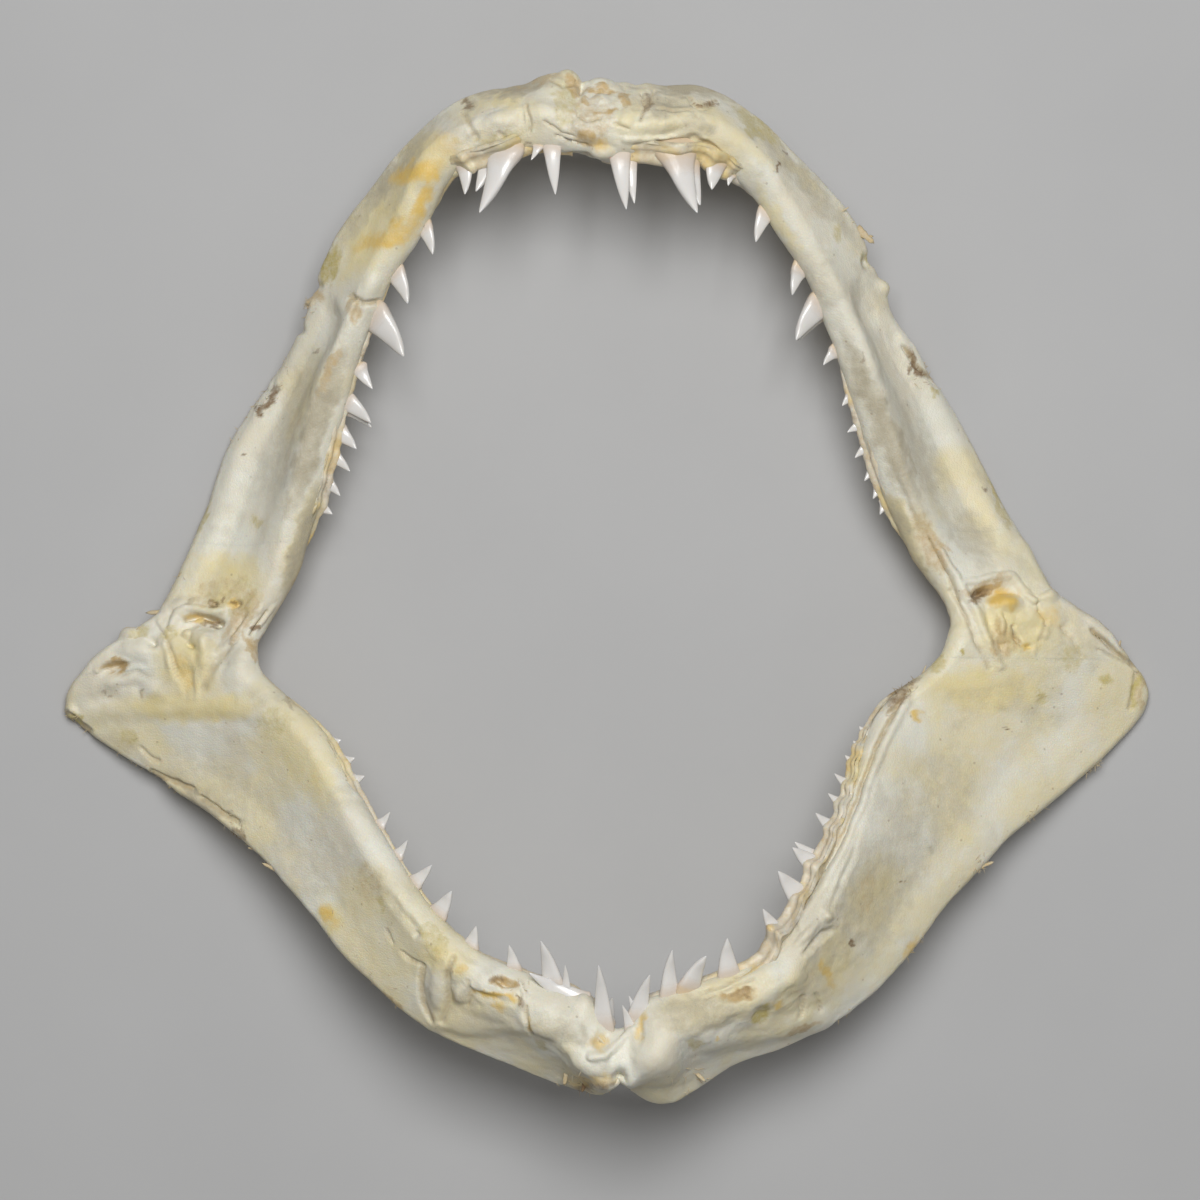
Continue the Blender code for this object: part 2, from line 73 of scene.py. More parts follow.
# Stations along each half, from the symphysis to the jaw joint, as the solids have them.
# Each row: tooth margin x, y, z, then the outer margin x, y, z.
STATIONS = {
    "upper_left": (
        (-1.5, 127.0, 58.0, -2.0, 148.5, 40.0),
        (14.0, 128.5, 58.0, 14.5, 148.0, 38.0),
        (30.0, 128.0, 55.0, 32.5, 146.9, 35.0),
        (42.0, 118.0, 50.0, 53.9, 130.7, 31.0),
        (52.5, 103.0, 46.0, 72.3, 112.7, 26.0),
        (61.0, 89.0, 42.0, 80.8, 95.2, 21.0),
        (65.5, 78.5, 39.5, 86.4, 81.9, 15.5),
        (69.5, 68.0, 37.5, 94.5, 69.0, 9.0),
        (75.0, 52.5, 33.0, 107.0, 51.0, 2.0),
        (83.5, 27.5, 28.0, 121.0, 25.0, 1.0),
        (92.0, 10.5, 25.0, 128.5, 11.5, 6.0),
        (99.5, -0.5, 23.0, 134.5, 0.0, 11.0),
    ),
    "upper_right": (
        (-10.0, 128.5, 58.0, -9.5, 149.0, 40.0),
        (-21.0, 130.5, 58.0, -21.5, 148.5, 38.0),
        (-36.0, 127.5, 55.0, -39.5, 145.9, 35.0),
        (-46.5, 122.5, 51.0, -56.4, 134.7, 32.0),
        (-55.0, 106.0, 46.0, -72.8, 116.2, 26.0),
        (-64.0, 92.0, 42.0, -84.8, 98.2, 21.0),
        (-71.0, 76.0, 38.0, -91.9, 78.4, 14.0),
        (-77.0, 59.5, 34.0, -103.0, 60.0, 2.5),
        (-82.0, 42.5, 30.0, -114.5, 43.5, 0.8),
        (-87.5, 22.5, 27.0, -122.5, 23.0, 2.0),
        (-93.0, 5.0, 25.0, -129.0, 6.0, 8.0),
        (-102.0, -10.0, 22.0, -135.5, -7.5, 11.0),
    ),
    "lower_left": (
        (6.5, -130.0, 76.0, 6.5, -146.0, 50.0),
        (14.5, -120.5, 75.0, 17.0, -151.0, 47.0),
        (28.5, -116.0, 72.0, 38.0, -141.0, 43.0),
        (46.5, -108.5, 68.0, 59.9, -133.3, 39.0),
        (57.0, -93.5, 62.0, 81.8, -119.2, 33.0),
        (65.5, -77.5, 56.0, 102.1, -95.7, 25.0),
        (72.0, -61.5, 50.0, 119.5, -78.2, 18.0),
        (76.0, -46.0, 43.0, 141.5, -60.8, 7.2),
        (83.0, -34.5, 36.0, 159.0, -44.5, 0.6),
        (94.5, -26.0, 30.0, 165.5, -31.5, 1.8),
        (101.5, -18.5, 27.0, 156.0, -17.5, 8.0),
        (104.0, -12.5, 25.0, 142.5, -6.5, 11.0),
    ),
    "lower_right": (
        (1.5, -131.0, 76.0, 1.5, -145.5, 50.0),
        (-8.5, -122.0, 75.0, -6.0, -148.0, 47.0),
        (-22.5, -114.0, 72.0, -25.9, -141.6, 47.0),
        (-39.0, -106.5, 68.0, -48.6, -132.5, 48.0),
        (-52.0, -93.5, 62.0, -72.4, -115.5, 42.0),
        (-63.5, -77.5, 56.0, -91.8, -93.8, 31.0),
        (-73.5, -61.0, 50.0, -110.8, -75.1, 21.0),
        (-83.0, -45.5, 43.0, -132.5, -60.3, 8.2),
        (-94.5, -34.0, 36.0, -157.5, -44.5, 0.6),
        (-103.0, -26.0, 30.0, -165.0, -34.5, 1.8),
        (-105.0, -21.5, 27.0, -157.5, -23.5, 8.0),
        (-105.5, -17.5, 25.0, -142.5, -13.0, 11.0),
    ),
}

# Standing teeth, from the symphysis to the joint.
# Each row: place along the stations, length from the margin to the tip, base width, lean in
# degrees about Z, how far the gum covers it, how much bare root shows, and the tooth that stands
# ready behind it, if there is one: how far towards the joint and how large for the first.
Tooth = namedtuple("Tooth", "place length width lean hidden bare ready",
                   defaults=(0.0, 0.2, None))
TEETH = {
    "upper_left": (
        (0.42, 17.0, 6.6, 5, 0.0, 1.2, (2.9, 0.74)),
        (1.42, 20.2, 13.2, 17, 0.6, 4.6, (2.6, 0.74)), (2.24, 9.0, 7.4, 3, 0.6, 2.2),
        (2.62, 3.4, 3.4, 10, 0.6, 0.4), (3.52, 8.5, 5.4, 35),
        (4.64, 7.0, 5.6, 50, 0.0, 0.2, (1.4, 0.8)), (5.54, 12.0, 8.6, 41, 0.0, 0.4, (2.6, 0.8)),
        (6.84, 4.8, 4.6, 43), (7.78, 3.0, 3.8, 47), (8.18, 3.8, 4.0, 30, 0.3),
        (8.44, 4.3, 4.2, 42), (8.68, 3.8, 4.0, 62), (8.9, 3.3, 4.0, 70), (9.12, 3.2, 4.0, 72),
    ),
    "upper_right": (
        (0.62, 14.6, 5.6, 3, 0.0, 0.3), (0.98, 4.2, 3.4, -24),
        (1.66, 20.2, 12.0, -24, 0.0, 0.8, (5.1, 0.56)), (2.62, 9.0, 5.6, -22, 0.5, 0.8),
        (3.98, 8.0, 5.4, -40, 0.0, 0.3), (4.94, 9.5, 6.5, -48, 0.0, 0.3),
        (5.76, 14.5, 10.0, -43, 0.0, 0.4), (6.66, 7.0, 5.4, -58, 0.2),
        (7.24, 9.5, 6.0, -38, 0.4, 0.2, (1.8, 0.85)), (7.78, 7.2, 6.0, -39, 0.4),
        (8.16, 7.0, 4.8, -38, 0.8), (8.54, 6.0, 4.8, -42, 0.8), (8.9, 4.5, 5.0, -28, 0.8),
    ),
    "lower_left": (
        (0.05, 7.4, 3.6, 14, 0.0, 0.4, (1.9, 0.95)), (0.46, 13.2, 6.4, -14, 0.0, 0.4),
        (1.36, 12.6, 6.0, -9, 0.0, 0.3), (1.78, 10.2, 7.4, -42, 0.0, 1.0),
        (2.42, 10.4, 6.8, -18, 0.3, 0.3), (3.4, 10.0, 5.6, -5, 4.0, 0.4),
        (4.1, 11.2, 7.8, -7, 1.5, 0.4), (4.66, 10.0, 6.6, -8, 2.6, 0.3, (2.4, 0.8)),
        (5.36, 7.7, 5.0, -14, 2.0, 0.3), (5.8, 6.0, 4.4, -13, 1.9, 0.3),
        (6.16, 6.0, 4.2, -18, 2.2, 0.3), (6.58, 3.6, 3.8, -22, 0.9), (6.9, 2.2, 3.4, -35, 0.2),
        (7.24, 2.0, 3.2, -30),
    ),
    "lower_right": (
        (0.36, 18.4, 6.2, 0, 0.0, 0.3), (0.96, 17.6, 7.4, 58, 0.0, 0.5), (1.3, 8.8, 3.2, -2),
        (1.58, 14.3, 7.0, 12, 0.6, 0.4), (2.32, 6.6, 4.8, 18), (3.1, 6.0, 5.6, 5, 0.0, 0.6),
        (3.84, 7.6, 6.6, 7, 0.0, 0.8), (4.42, 7.2, 5.2, 6, 0.2), (4.9, 5.2, 4.3, 22, 0.4),
        (5.42, 5.0, 4.2, 24, 0.6), (6.22, 3.3, 4.4, 2, 0.8), (6.56, 3.4, 4.4, 0, 1.0),
        (6.92, 2.6, 4.2, 3, 1.0),
    ),
}

# How far the dried gum shows past the tooth margin: place along the stations, then the reach
GUMS = {
    "upper_left": (
        (0.0, -1.6), (0.3, -0.2), (0.8, 1.2), (1.1, 2.4), (1.5, 3.0), (2.2, 2.4), (2.6, 1.0),
        (3.0, -2.4), (6.6, -2.0), (7.4, -0.4), (8.2, 0.4), (8.9, 0.7), (9.4, 0.2), (9.8, -1.0),
    ),
    "upper_right": (
        (0.0, -1.8), (1.1, -1.4), (1.5, 1.0), (2.1, 2.0), (2.6, 1.6), (3.1, -1.2), (4.6, -1.6),
        (6.6, -0.8), (7.4, 0.2), (8.2, 1.2), (8.9, 1.6), (9.2, 0.8), (9.6, -1.0),
    ),
    "lower_left": (
        (0.0, -0.8), (1.0, -1.2), (2.4, -0.6), (3.0, 1.0), (3.4, 4.2), (3.8, 2.4), (4.1, 2.6),
        (4.6, 3.4), (5.5, 2.6), (6.4, 2.2), (7.2, 1.2), (8.0, 0.6), (8.6, -0.8),
    ),
    "lower_right": (
        (0.0, -1.5), (0.6, -0.9), (1.4, 0.5), (2.0, -1.0), (3.6, -1.2), (5.0, 0.0), (6.2, 0.8),
        (7.0, 1.2), (7.6, 0.3), (8.2, -0.8),
    ),
}

# How thick the cartilage is on each side of the sheet between its two margins, front and rear.
# Its outer face has a hollow: where it starts, is full, wanes and ends along the half, its depth,
# and where its wall by the teeth and its slope by the outer margin each start and end. It also
# has a ridge by the teeth, a rim by the outer margin and a shoulder in front: height, middle and
# half width.
# Lengths run from 0 at the symphysis to 1, and widths from 0 at the teeth to 1.
UPPER_FORM = {
    "labial": (7.5, 4.8),
    "lingual": (7.0, 4.6),
    "fossa_reach": (0.42, 0.66, 0.84, 0.98),
    "fossa": (2.4, 0.10, 0.56, 0.60, 0.82),
    "tooth_ridge": (2.4, 0.08, 0.36),
    "outer_rim": (1.0, 0.80, 0.20),
    "shoulder": (0.5, 0.42, 0.34),
    "tooth_round": 4.5,
    "outer_round": 4.5,
}
LOWER_FORM = {
    "labial": (8.5, 4.6),
    "lingual": (7.5, 4.2),
    "fossa_reach": (0.30, 0.48, 0.60, 0.84),
    "fossa": (1.2, 0.14, 0.50, 0.62, 0.98),
    "tooth_ridge": (0.4, 0.10, 0.18),
    "outer_rim": (0.8, 0.84, 0.22),
    "shoulder": (2.2, 0.28, 0.42),
    "tooth_round": 5.0,
    "outer_round": 4.0,
}
RELIEF_SEED = 5
FRONT_SHARE = 0.6         # share of a half's length over which it thins towards the joint

Half = namedtuple("Half", "name stations form teeth gum seed")
HALVES = tuple(
    Half(name, STATIONS[name], form, [Tooth(*row) for row in TEETH[name]], GUMS[name], seed)
    for name, form, seed in (("upper_left", UPPER_FORM, 11), ("upper_right", UPPER_FORM, 23),
                             ("lower_left", LOWER_FORM, 37), ("lower_right", LOWER_FORM, 41)))
UPPER_LEFT, UPPER_RIGHT, LOWER_LEFT, LOWER_RIGHT = HALVES
CAD_NODES = {"upper_left": "upper_jaw_left", "upper_right": "upper_jaw_right",
             "lower_left": "lower_jaw_left", "lower_right": "lower_jaw_right"}

# Soft ovals of the surface: what each is, its middle and half sizes in the photograph's pixels,
# how far it raises the surface in millimetres, and its turn in degrees
Oval = namedtuple("Oval", "what x y long wide amount turn", defaults=(0,))


def ovals(*rows):
    """Soft ovals from their rows."""
    return [Oval(*row) for row in rows]


FACE_OVALS = ovals(
    ("bed of the lens", 603, 102, 24, 15, 0.6, 5),
    ("pearl inside the lens", 601, 101, 12, 7, 1.5, 5),
    ("crest over the lens", 600, 87, 18, 8, 1.0),
    ("lump under the lens", 588, 133, 16, 10, 0.9, 20),
    ("lip below the lump", 602, 152, 17, 8, 1.3),
    ("hollow beside the lump", 570, 120, 14, 8, -0.8, -30),
    ("hollow beside the bump", 579, 104, 8, 16, -0.9),
    ("knuckle of the front", 545, 112, 16, 16, 0.9),
    ("dent between the knuckles", 522, 112, 7, 20, -0.8, 10),
    ("swelling of the front, right", 497, 122, 24, 15, 1.0, -12),
    ("second knuckle of the front", 512, 96, 16, 8, 0.6, -12),
    ("hollow above the big tooth", 470, 140, 16, 8, -0.8, -35),
    ("hollow under the front", 500, 148, 30, 6, -1.2, -14),
    ("swelling of the front, left", 660, 124, 34, 11, 1.3, -5),
    ("second swelling of the front", 700, 124, 20, 14, 0.9, 10),
    ("swelling by the symphysis", 628, 118, 10, 18, 0.8, 20),
    ("hollow of the torn membrane", 668, 103, 32, 7, -1.0, 3),
    ("hollow under the membrane", 662, 143, 36, 6, -2.2, -6),
    ("hollow under the front corner", 714, 152, 24, 7, -1.6, 38),
    ("swelling of the ochre patch", 424, 176, 16, 20, 0.6, -20),
    ("dip beside the ochre patch", 396, 196, 18, 10, -0.6, -50),
    ("swelling by the arm's crease", 372, 285, 18, 12, 0.9, -60),
    ("hollow behind the crease", 357, 312, 9, 18, -1.3, 20),
    ("right arm's shoulder", 328, 325, 13, 34, -1.0, 15),
    ("right arm's lip", 340, 305, 9, 14, 0.8, 10),
    ("left arm's step", 890, 290, 12, 22, 1.2, -20),
    ("hollow behind the left step", 864, 305, 13, 34, -1.6, -18),
    ("left arm's outer swelling", 912, 340, 11, 34, 0.7, -28),
    ("hollow beside the crevice", 898, 345, 9, 26, -0.8, -25),
    ("hollow of the left arm's end", 930, 545, 15, 36, -1.2, -30),
    ("wall of the left arm's end", 905, 500, 6, 44, -0.6, -20),
    ("socket of the right joint", 203, 632, 34, 24, -3.0),
    ("ball of the right joint", 203, 637, 19, 18, 4.6),
    ("body below the ball", 206, 656, 11, 26, 1.8, 8),
    ("small white knob beside the ball", 187, 634, 6, 7, 1.6, 10),
    ("deep end of the slit", 214, 620, 11, 5, -3.2, 20),
    ("pit below the ball", 192, 648, 6, 4.5, -2.2, 20),
    ("pale pillar of the right joint", 240, 668, 30, 17, 1.6, -58),
    ("yellow channel of the right joint", 188, 680, 10, 24, -1.3, -4),
    ("strand left of the channel", 170, 662, 6, 26, 1.0, -14),
    ("knob of the blade's hind edge", 136, 650, 24, 15, 1.6, 5),
    ("dark hollow of the hind edge", 113, 667, 20, 9, -2.4, -14),
    ("swelling below the hollow", 118, 682, 24, 9, 0.9, -8),
    ("hollow near the corner", 104, 699, 24, 10, -0.9, -6),
    ("hump above the long fold", 156, 692, 24, 12, 0.8, 8),
    ("dent before the hump", 139, 690, 8, 10, -0.7, -30),
    ("brown pit of the right arm", 215, 603, 6, 4.5, -1.6),
    ("larger brown pit", 236, 605, 9, 6, -2.0, -20),
    ("strand over the right joint", 247, 613, 5, 26, 0.8, 32),
    ("second strand", 254, 620, 4, 20, 0.5, 30),
    ("hollow between the strands", 241, 622, 4.5, 22, -1.1, 32),
    ("hollow of the right arm's end", 203, 592, 24, 12, -0.9, -5),
    ("swelling of the right arm's end", 180, 606, 14, 9, 0.7, -30),
    ("pad of the left arm's end", 1003, 568, 26, 14, 0.6, -20),
    ("left joint's slit", 980, 593, 15, 7, -3.6, -30),
    ("left joint's socket", 998, 594, 30, 15, -2.4, -12),
    ("pad under the left slit", 1006, 603, 20, 12, 2.6, 4),
    ("hollow beside the strand", 990, 622, 7, 22, -1.3, -22),
    ("thin strand", 1000, 626, 4, 26, 0.9, -4),
    ("smooth face between the strands", 1024, 620, 15, 12, 0.7, 20),
    ("first brown hollow", 1001, 644, 5, 12, -1.4, -6),
    ("second brown hollow", 1015, 638, 5, 9, -1.4, -24),
    ("third brown hollow", 1028, 646, 7, 4, -1.0),
    ("small bright lump", 1042, 633, 7, 9, 1.0, 10),
    ("pad of the left hind edge", 1053, 616, 18, 14, 1.0, 20),
    ("dent beside the left pad", 1066, 632, 10, 12, -0.6, 20),
    ("neck of the left blade", 958, 640, 20, 30, 0.7, 20),
    ("rolled rim of the left corner", 1106, 636, 6, 38, 1.0, -43),
    ("lobe of the right front", 438, 992, 12, 34, 1.8, -4),
    ("oval bump of the right front", 460, 995, 9, 13, 1.6),
    ("round hole of the right front", 415, 936, 5, 5, -1.2),
    ("dent round the hole", 411, 923, 8, 18, -1.0, -32),
    ("hollow before the hole", 394, 905, 8, 24, -0.6, -35),
    ("dark pit by the teeth", 505, 982, 14, 6, -2.4, 20),
    ("yellow fold below the pit", 492, 999, 28, 6, -1.1, 12),
    ("ledge below the fold", 490, 1013, 30, 9, 0.9, 6),
    ("front plate of the right half", 556, 1016, 46, 28, 1.9, 20),
    ("mouth of the lower symphysis", 602, 1042, 11, 14, -2.6, 10),
    ("tissue over the lying tooth", 583, 1004, 22, 13, 2.8, 48),
    ("hollow left of the mouth", 588, 1030, 8, 12, -0.9, -30),
    ("block of the left front", 678, 1022, 46, 30, 1.4, -8),
    ("slope to the left chin", 660, 1060, 32, 34, 3.2),
    ("slope to the right chin", 590, 1064, 30, 20, 1.8),
    ("dip of the left inner corner", 642, 1034, 6, 20, -0.8, 6),
    ("rough patch of the left front", 737, 995, 21, 10, -1.4, -14),
    ("yellow dip of the left front", 762, 1015, 17, 10, -1.1, -32),
    ("ledge round the yellow dip", 745, 1022, 20, 8, 0.7, -20),
    ("swelling of the left front", 795, 980, 16, 22, 1.0, -10),
    ("swelling before the groove", 770, 972, 22, 14, 0.8, -25),
    ("shaded groove of the left front", 818, 941, 26, 7, -2.8, -42),
    ("lip of the groove", 806, 934, 24, 6, 1.2, -42),
    ("lumps above the groove", 827, 915, 7, 9, 1.3, -30),
    ("hollow behind the lip", 846, 872, 6, 50, -0.9, 22),
    ("brown flap by the gum", 902, 694, 24, 10, 1.3, -42),
    ("left blade's ring", 1042, 701, 8, 8, -0.5),
    ("hollow above the tooth ridge", 470, 958, 16, 7, -0.6, 30),
)

# Lines of the surface: what each is, its half width in the photograph's pixels, how far it
# raises the surface in millimetres, and its points in pixels
Line = namedtuple("Line", "what wide amount points")
FACE_LINES = [Line(what, wide, amount, points) for what, wide, amount, *points in (
    ("ring of the lens", 6.2, 0.72, (583, 104), (584, 97), (592, 91), (606, 89), (619, 93),
     (624, 102)),
    ("wrinkle of the bump", 3.2, -0.62, (552, 82), (562, 88), (575, 86)),
    ("crease of the right front", 3.8, -0.88, (463, 112), (467, 122), (471, 130), (476, 140)),
    ("second crease", 3.2, -0.7, (500, 132), (507, 142)),
    ("third crease", 3.5, -0.7, (527, 106), (530, 120), (529, 132)),
    ("fourth crease", 3.2, -0.62, (545, 120), (560, 133), (574, 137)),
    ("crack of the left front", 3.5, -1.06, (690, 98), (696, 106), (703, 107), (715, 102)),
    ("short crack below it", 2.8, -0.62, (692, 112), (694, 117)),
    ("long crease of the left front", 3.0, -0.62, (655, 108), (672, 111), (690, 109)),
    ("dark crease by the symphysis", 3.2, -0.79, (641, 96), (645, 108), (640, 120)),
    ("dark crease beside it", 3.2, -0.79, (653, 92), (648, 106)),
    ("edge of the membrane", 5.6, 0.72, (625, 140), (650, 141), (672, 137), (692, 130),
     (704, 139)),
    ("fold at the symphysis", 3.5, -0.79, (578, 115), (586, 121), (600, 117)),
    ("fold of the symphysis's lip", 3.5, -0.7, (556, 136), (570, 142), (586, 144)),
    ("wrinkle by the lens", 3.2, -0.53, (616, 122), (628, 128)),
    ("crease across the right arm", 4.2, -1.58, (350, 296), (362, 303), (379, 302)),
    ("torn rim of the right arm", 3.8, -0.7, (309, 300), (305, 312), (302, 328)),
    ("crevice of the left arm", 4.0, -1.58, (906, 348), (915, 364), (927, 376), (936, 383)),
    ("lip beside the crevice", 4.2, 0.56, (913, 344), (922, 360), (934, 372)),
    ("arch over the right joint", 5.6, 1.36, (172, 627), (178, 615), (188, 610), (200, 609),
     (222, 611)),
    ("right joint's slit", 4.0, -2.11, (186, 619), (197, 615), (210, 616), (221, 621)),
    ("groove beside the pillar", 6.0, -0.8, (233, 642), (218, 661), (204, 688)),
    ("crease of the left strand", 3.2, -0.97, (166, 636), (172, 654), (180, 678)),
    ("first streak of the channel", 3.4, 0.48, (186, 664), (187, 680), (190, 698)),
    ("second streak of the channel", 3.4, 0.48, (196, 668), (196, 684), (196, 698)),
    ("thread of the right arm", 3.6, 0.72, (260, 607), (250, 617), (240, 628), (232, 642)),
    ("second thread of the arm", 3.6, 0.4, (272, 606), (264, 617), (256, 628)),
    ("crease between the threads", 3.2, -0.7, (266, 610), (258, 621), (250, 634)),
    ("fold left of the arch", 4.2, 0.72, (160, 622), (168, 632), (166, 644)),
    ("rim of the dark hollow", 4.2, 0.72, (97, 671), (106, 663), (118, 658), (128, 661)),
    ("wrinkle below the knob", 3.2, -0.53, (122, 676), (136, 672), (150, 678)),
    ("arch over the left joint", 5.3, 1.04, (964, 582), (978, 581), (992, 577), (1010, 577),
     (1022, 590), (1032, 601)),
    ("strand of the left joint", 6.4, 1.28, (940, 552), (957, 581), (972, 606), (986, 639),
     (999, 666)),
    ("groove beside the left strand", 4.2, -0.7, (950, 590), (962, 612), (974, 640), (988, 668)),
    ("hem of the left arm's end", 4.2, 0.48, (1020, 592), (1031, 602), (1051, 593)),
    ("first crease of the left pads", 3.2, -1.06, (1011, 627), (1014, 637), (1021, 645)),
    ("second crease of the pads", 3.2, -0.53, (1036, 612), (1044, 620), (1040, 640)),
    ("thread over the left joint", 3.4, 0.56, (992, 606), (1000, 622), (1003, 640)),
    ("wrinkle of the left hind edge", 3.5, -0.53, (1060, 628), (1074, 640), (1080, 656)),
    ("wrinkle of the left arm's end", 4.2, -0.79, (930, 540), (946, 570), (958, 600)),
    ("curled thread of the left joint", 3.1, 0.48, (1035, 646), (1034, 657), (1045, 669)),
    ("thin wrinkle of the left hind pad", 3.0, -0.35, (1022, 592), (1034, 598), (1036, 612)),
    ("rolled edge of the left corner", 3.8, -1.41, (1092, 630), (1109, 646), (1128, 660),
     (1140, 670)),
    ("second contour of the corner", 3.0, -0.7, (1098, 650), (1114, 656), (1134, 668)),
    ("inner fold of the left corner", 4.0, -1.06, (1137, 674), (1134, 690), (1130, 708)),
    ("long fold of the right blade", 15.0, 0.7, (76, 716), (120, 712), (170, 708), (220, 705),
     (262, 714)),
    ("split of the right corner", 4.0, -1.41, (66, 713), (76, 718), (90, 731)),
    ("crack of the right blade", 3.0, -0.88, (140, 747), (149, 757), (158, 761)),
    ("split of the rim", 3.8, -1.41, (152, 770), (165, 779), (178, 783), (192, 789)),
    ("second split of the rim", 3.8, -1.32, (200, 797), (214, 806), (226, 815), (237, 821)),
    ("rim below the splits", 4.9, 0.64, (140, 772), (165, 786), (190, 796), (215, 814),
     (240, 832)),
    ("crease of the right front's fold", 5.0, -1.14, (423, 966), (421, 985), (424, 1004),
     (432, 1018)),
    ("edge of the lobe", 5.0, -0.97, (453, 958), (447, 974), (450, 1002), (443, 1019)),
    ("curved crease before it", 3.2, -0.88, (402, 953), (408, 960), (421, 964)),
    ("dash before it", 3.0, -0.7, (386, 931), (390, 942)),
    ("groove round the oval bump", 3.0, -0.79, (468, 982), (471, 996), (467, 1008)),
    ("crack of the right front", 2.8, -1.06, (526, 1006), (527, 1019), (531, 1034)),
    ("ragged edge of the front plate", 4.2, 0.8, (518, 984), (524, 994), (522, 1006)),
    ("crest of the right front", 15.0, 1.2, (436, 1021), (473, 1027), (524, 1026), (548, 1030)),
    ("crest of the left front", 15.0, 1.2, (708, 1042), (747, 1038), (775, 1030), (821, 1019)),
    ("band over the lower symphysis", 5.0, 1.44, (591, 1055), (604, 1056), (617, 1047),
     (636, 1030)),
    ("grooves along the left margin", 3.0, -0.7, (700, 994), (726, 984), (756, 968)),
    ("second groove there", 2.8, -0.53, (706, 999), (730, 989), (752, 979)),
    ("fold of the left front", 3.2, -0.97, (803, 997), (799, 1016)),
    ("second fold of the left front", 3.0, -0.88, (816, 995), (820, 1010)),
    ("crevice of the brown flap", 3.2, -1.58, (888, 713), (896, 706), (904, 696), (914, 686)),
    ("ridge along the left gum", 6.3, 0.72, (907, 702), (884, 745), (868, 790), (850, 835),
     (824, 885), (800, 925)),
    ("groove along the left gum", 4.0, -1.41, (898, 706), (876, 745), (860, 788), (842, 832),
     (816, 880), (792, 920)),
)]

# Parts of the surface that dried rough and lumpy, and how rough
ROUGH_OVALS = ovals(
    ("upper symphysis", 592, 116, 56, 60, 1.0),
    ("right front", 500, 120, 60, 44, 0.8, -15),
    ("left front", 670, 118, 70, 44, 0.8),
    ("right joint", 205, 625, 80, 60, 1.0, -10),
    ("right hind edge", 120, 675, 70, 46, 0.9),
    ("left joint", 1010, 620, 90, 60, 1.0, 10),
    ("right lower front", 480, 985, 110, 50, 0.8, 25),
    ("lower symphysis", 600, 1060, 70, 50, 1.0),
    ("left lower front", 740, 1000, 110, 50, 0.9, -15),
    ("left groove", 830, 930, 50, 60, 0.8, -40),
    ("left gum's flap", 905, 700, 40, 40, 1.0, -40),
    ("right arm's grit", 270, 395, 26, 50, 0.8, 30),
    ("left arm's crevice", 915, 365, 26, 50, 0.8, -30),
)

# Outward bumps and nicks of the outline
EDGE_OVALS = ovals(
    ("bump over the front", 557, 83, 36, 19, 2.4),
    ("peak of the bump", 568, 77, 15, 11, 2.0, 20),
    ("nick beside the bump", 581, 88, 8, 10, -1.8),
    ("hump over the lens", 601, 83, 14, 10, 1.2),
    ("nick before the left front", 636, 86, 12, 7, -0.9),
    ("knob of the right arm", 306, 302, 10, 9, 2.2),
    ("nick before the knob", 316, 286, 9, 9, -1.3),
    ("nick behind the knob", 300, 330, 8, 8, -1.1),
    ("nick before the left step", 868, 262, 9, 12, -1.8),
    ("left arm's step outward", 884, 286, 11, 12, 1.3),
    ("lump by the left joint", 1050, 597, 10, 8, 1.4),
    ("notch of the right joint", 152, 643, 9, 9, -2.4),
    ("knob of the right hind edge", 126, 633, 14, 9, 1.8),
    ("lump of the right corner", 70, 712, 10, 10, 1.4),
    ("lip of the upper symphysis", 602, 155, 18, 12, 1.4),
    ("chin of the right half", 597, 1086, 19, 12, 1.8),
    ("chin of the left half", 662, 1094, 30, 18, 1.2),
    ("notch between the chins", 620, 1088, 12, 24, -8.0),
    ("shelf under the upper front", 582, 162, 34, 12, -3.0, 4),
)

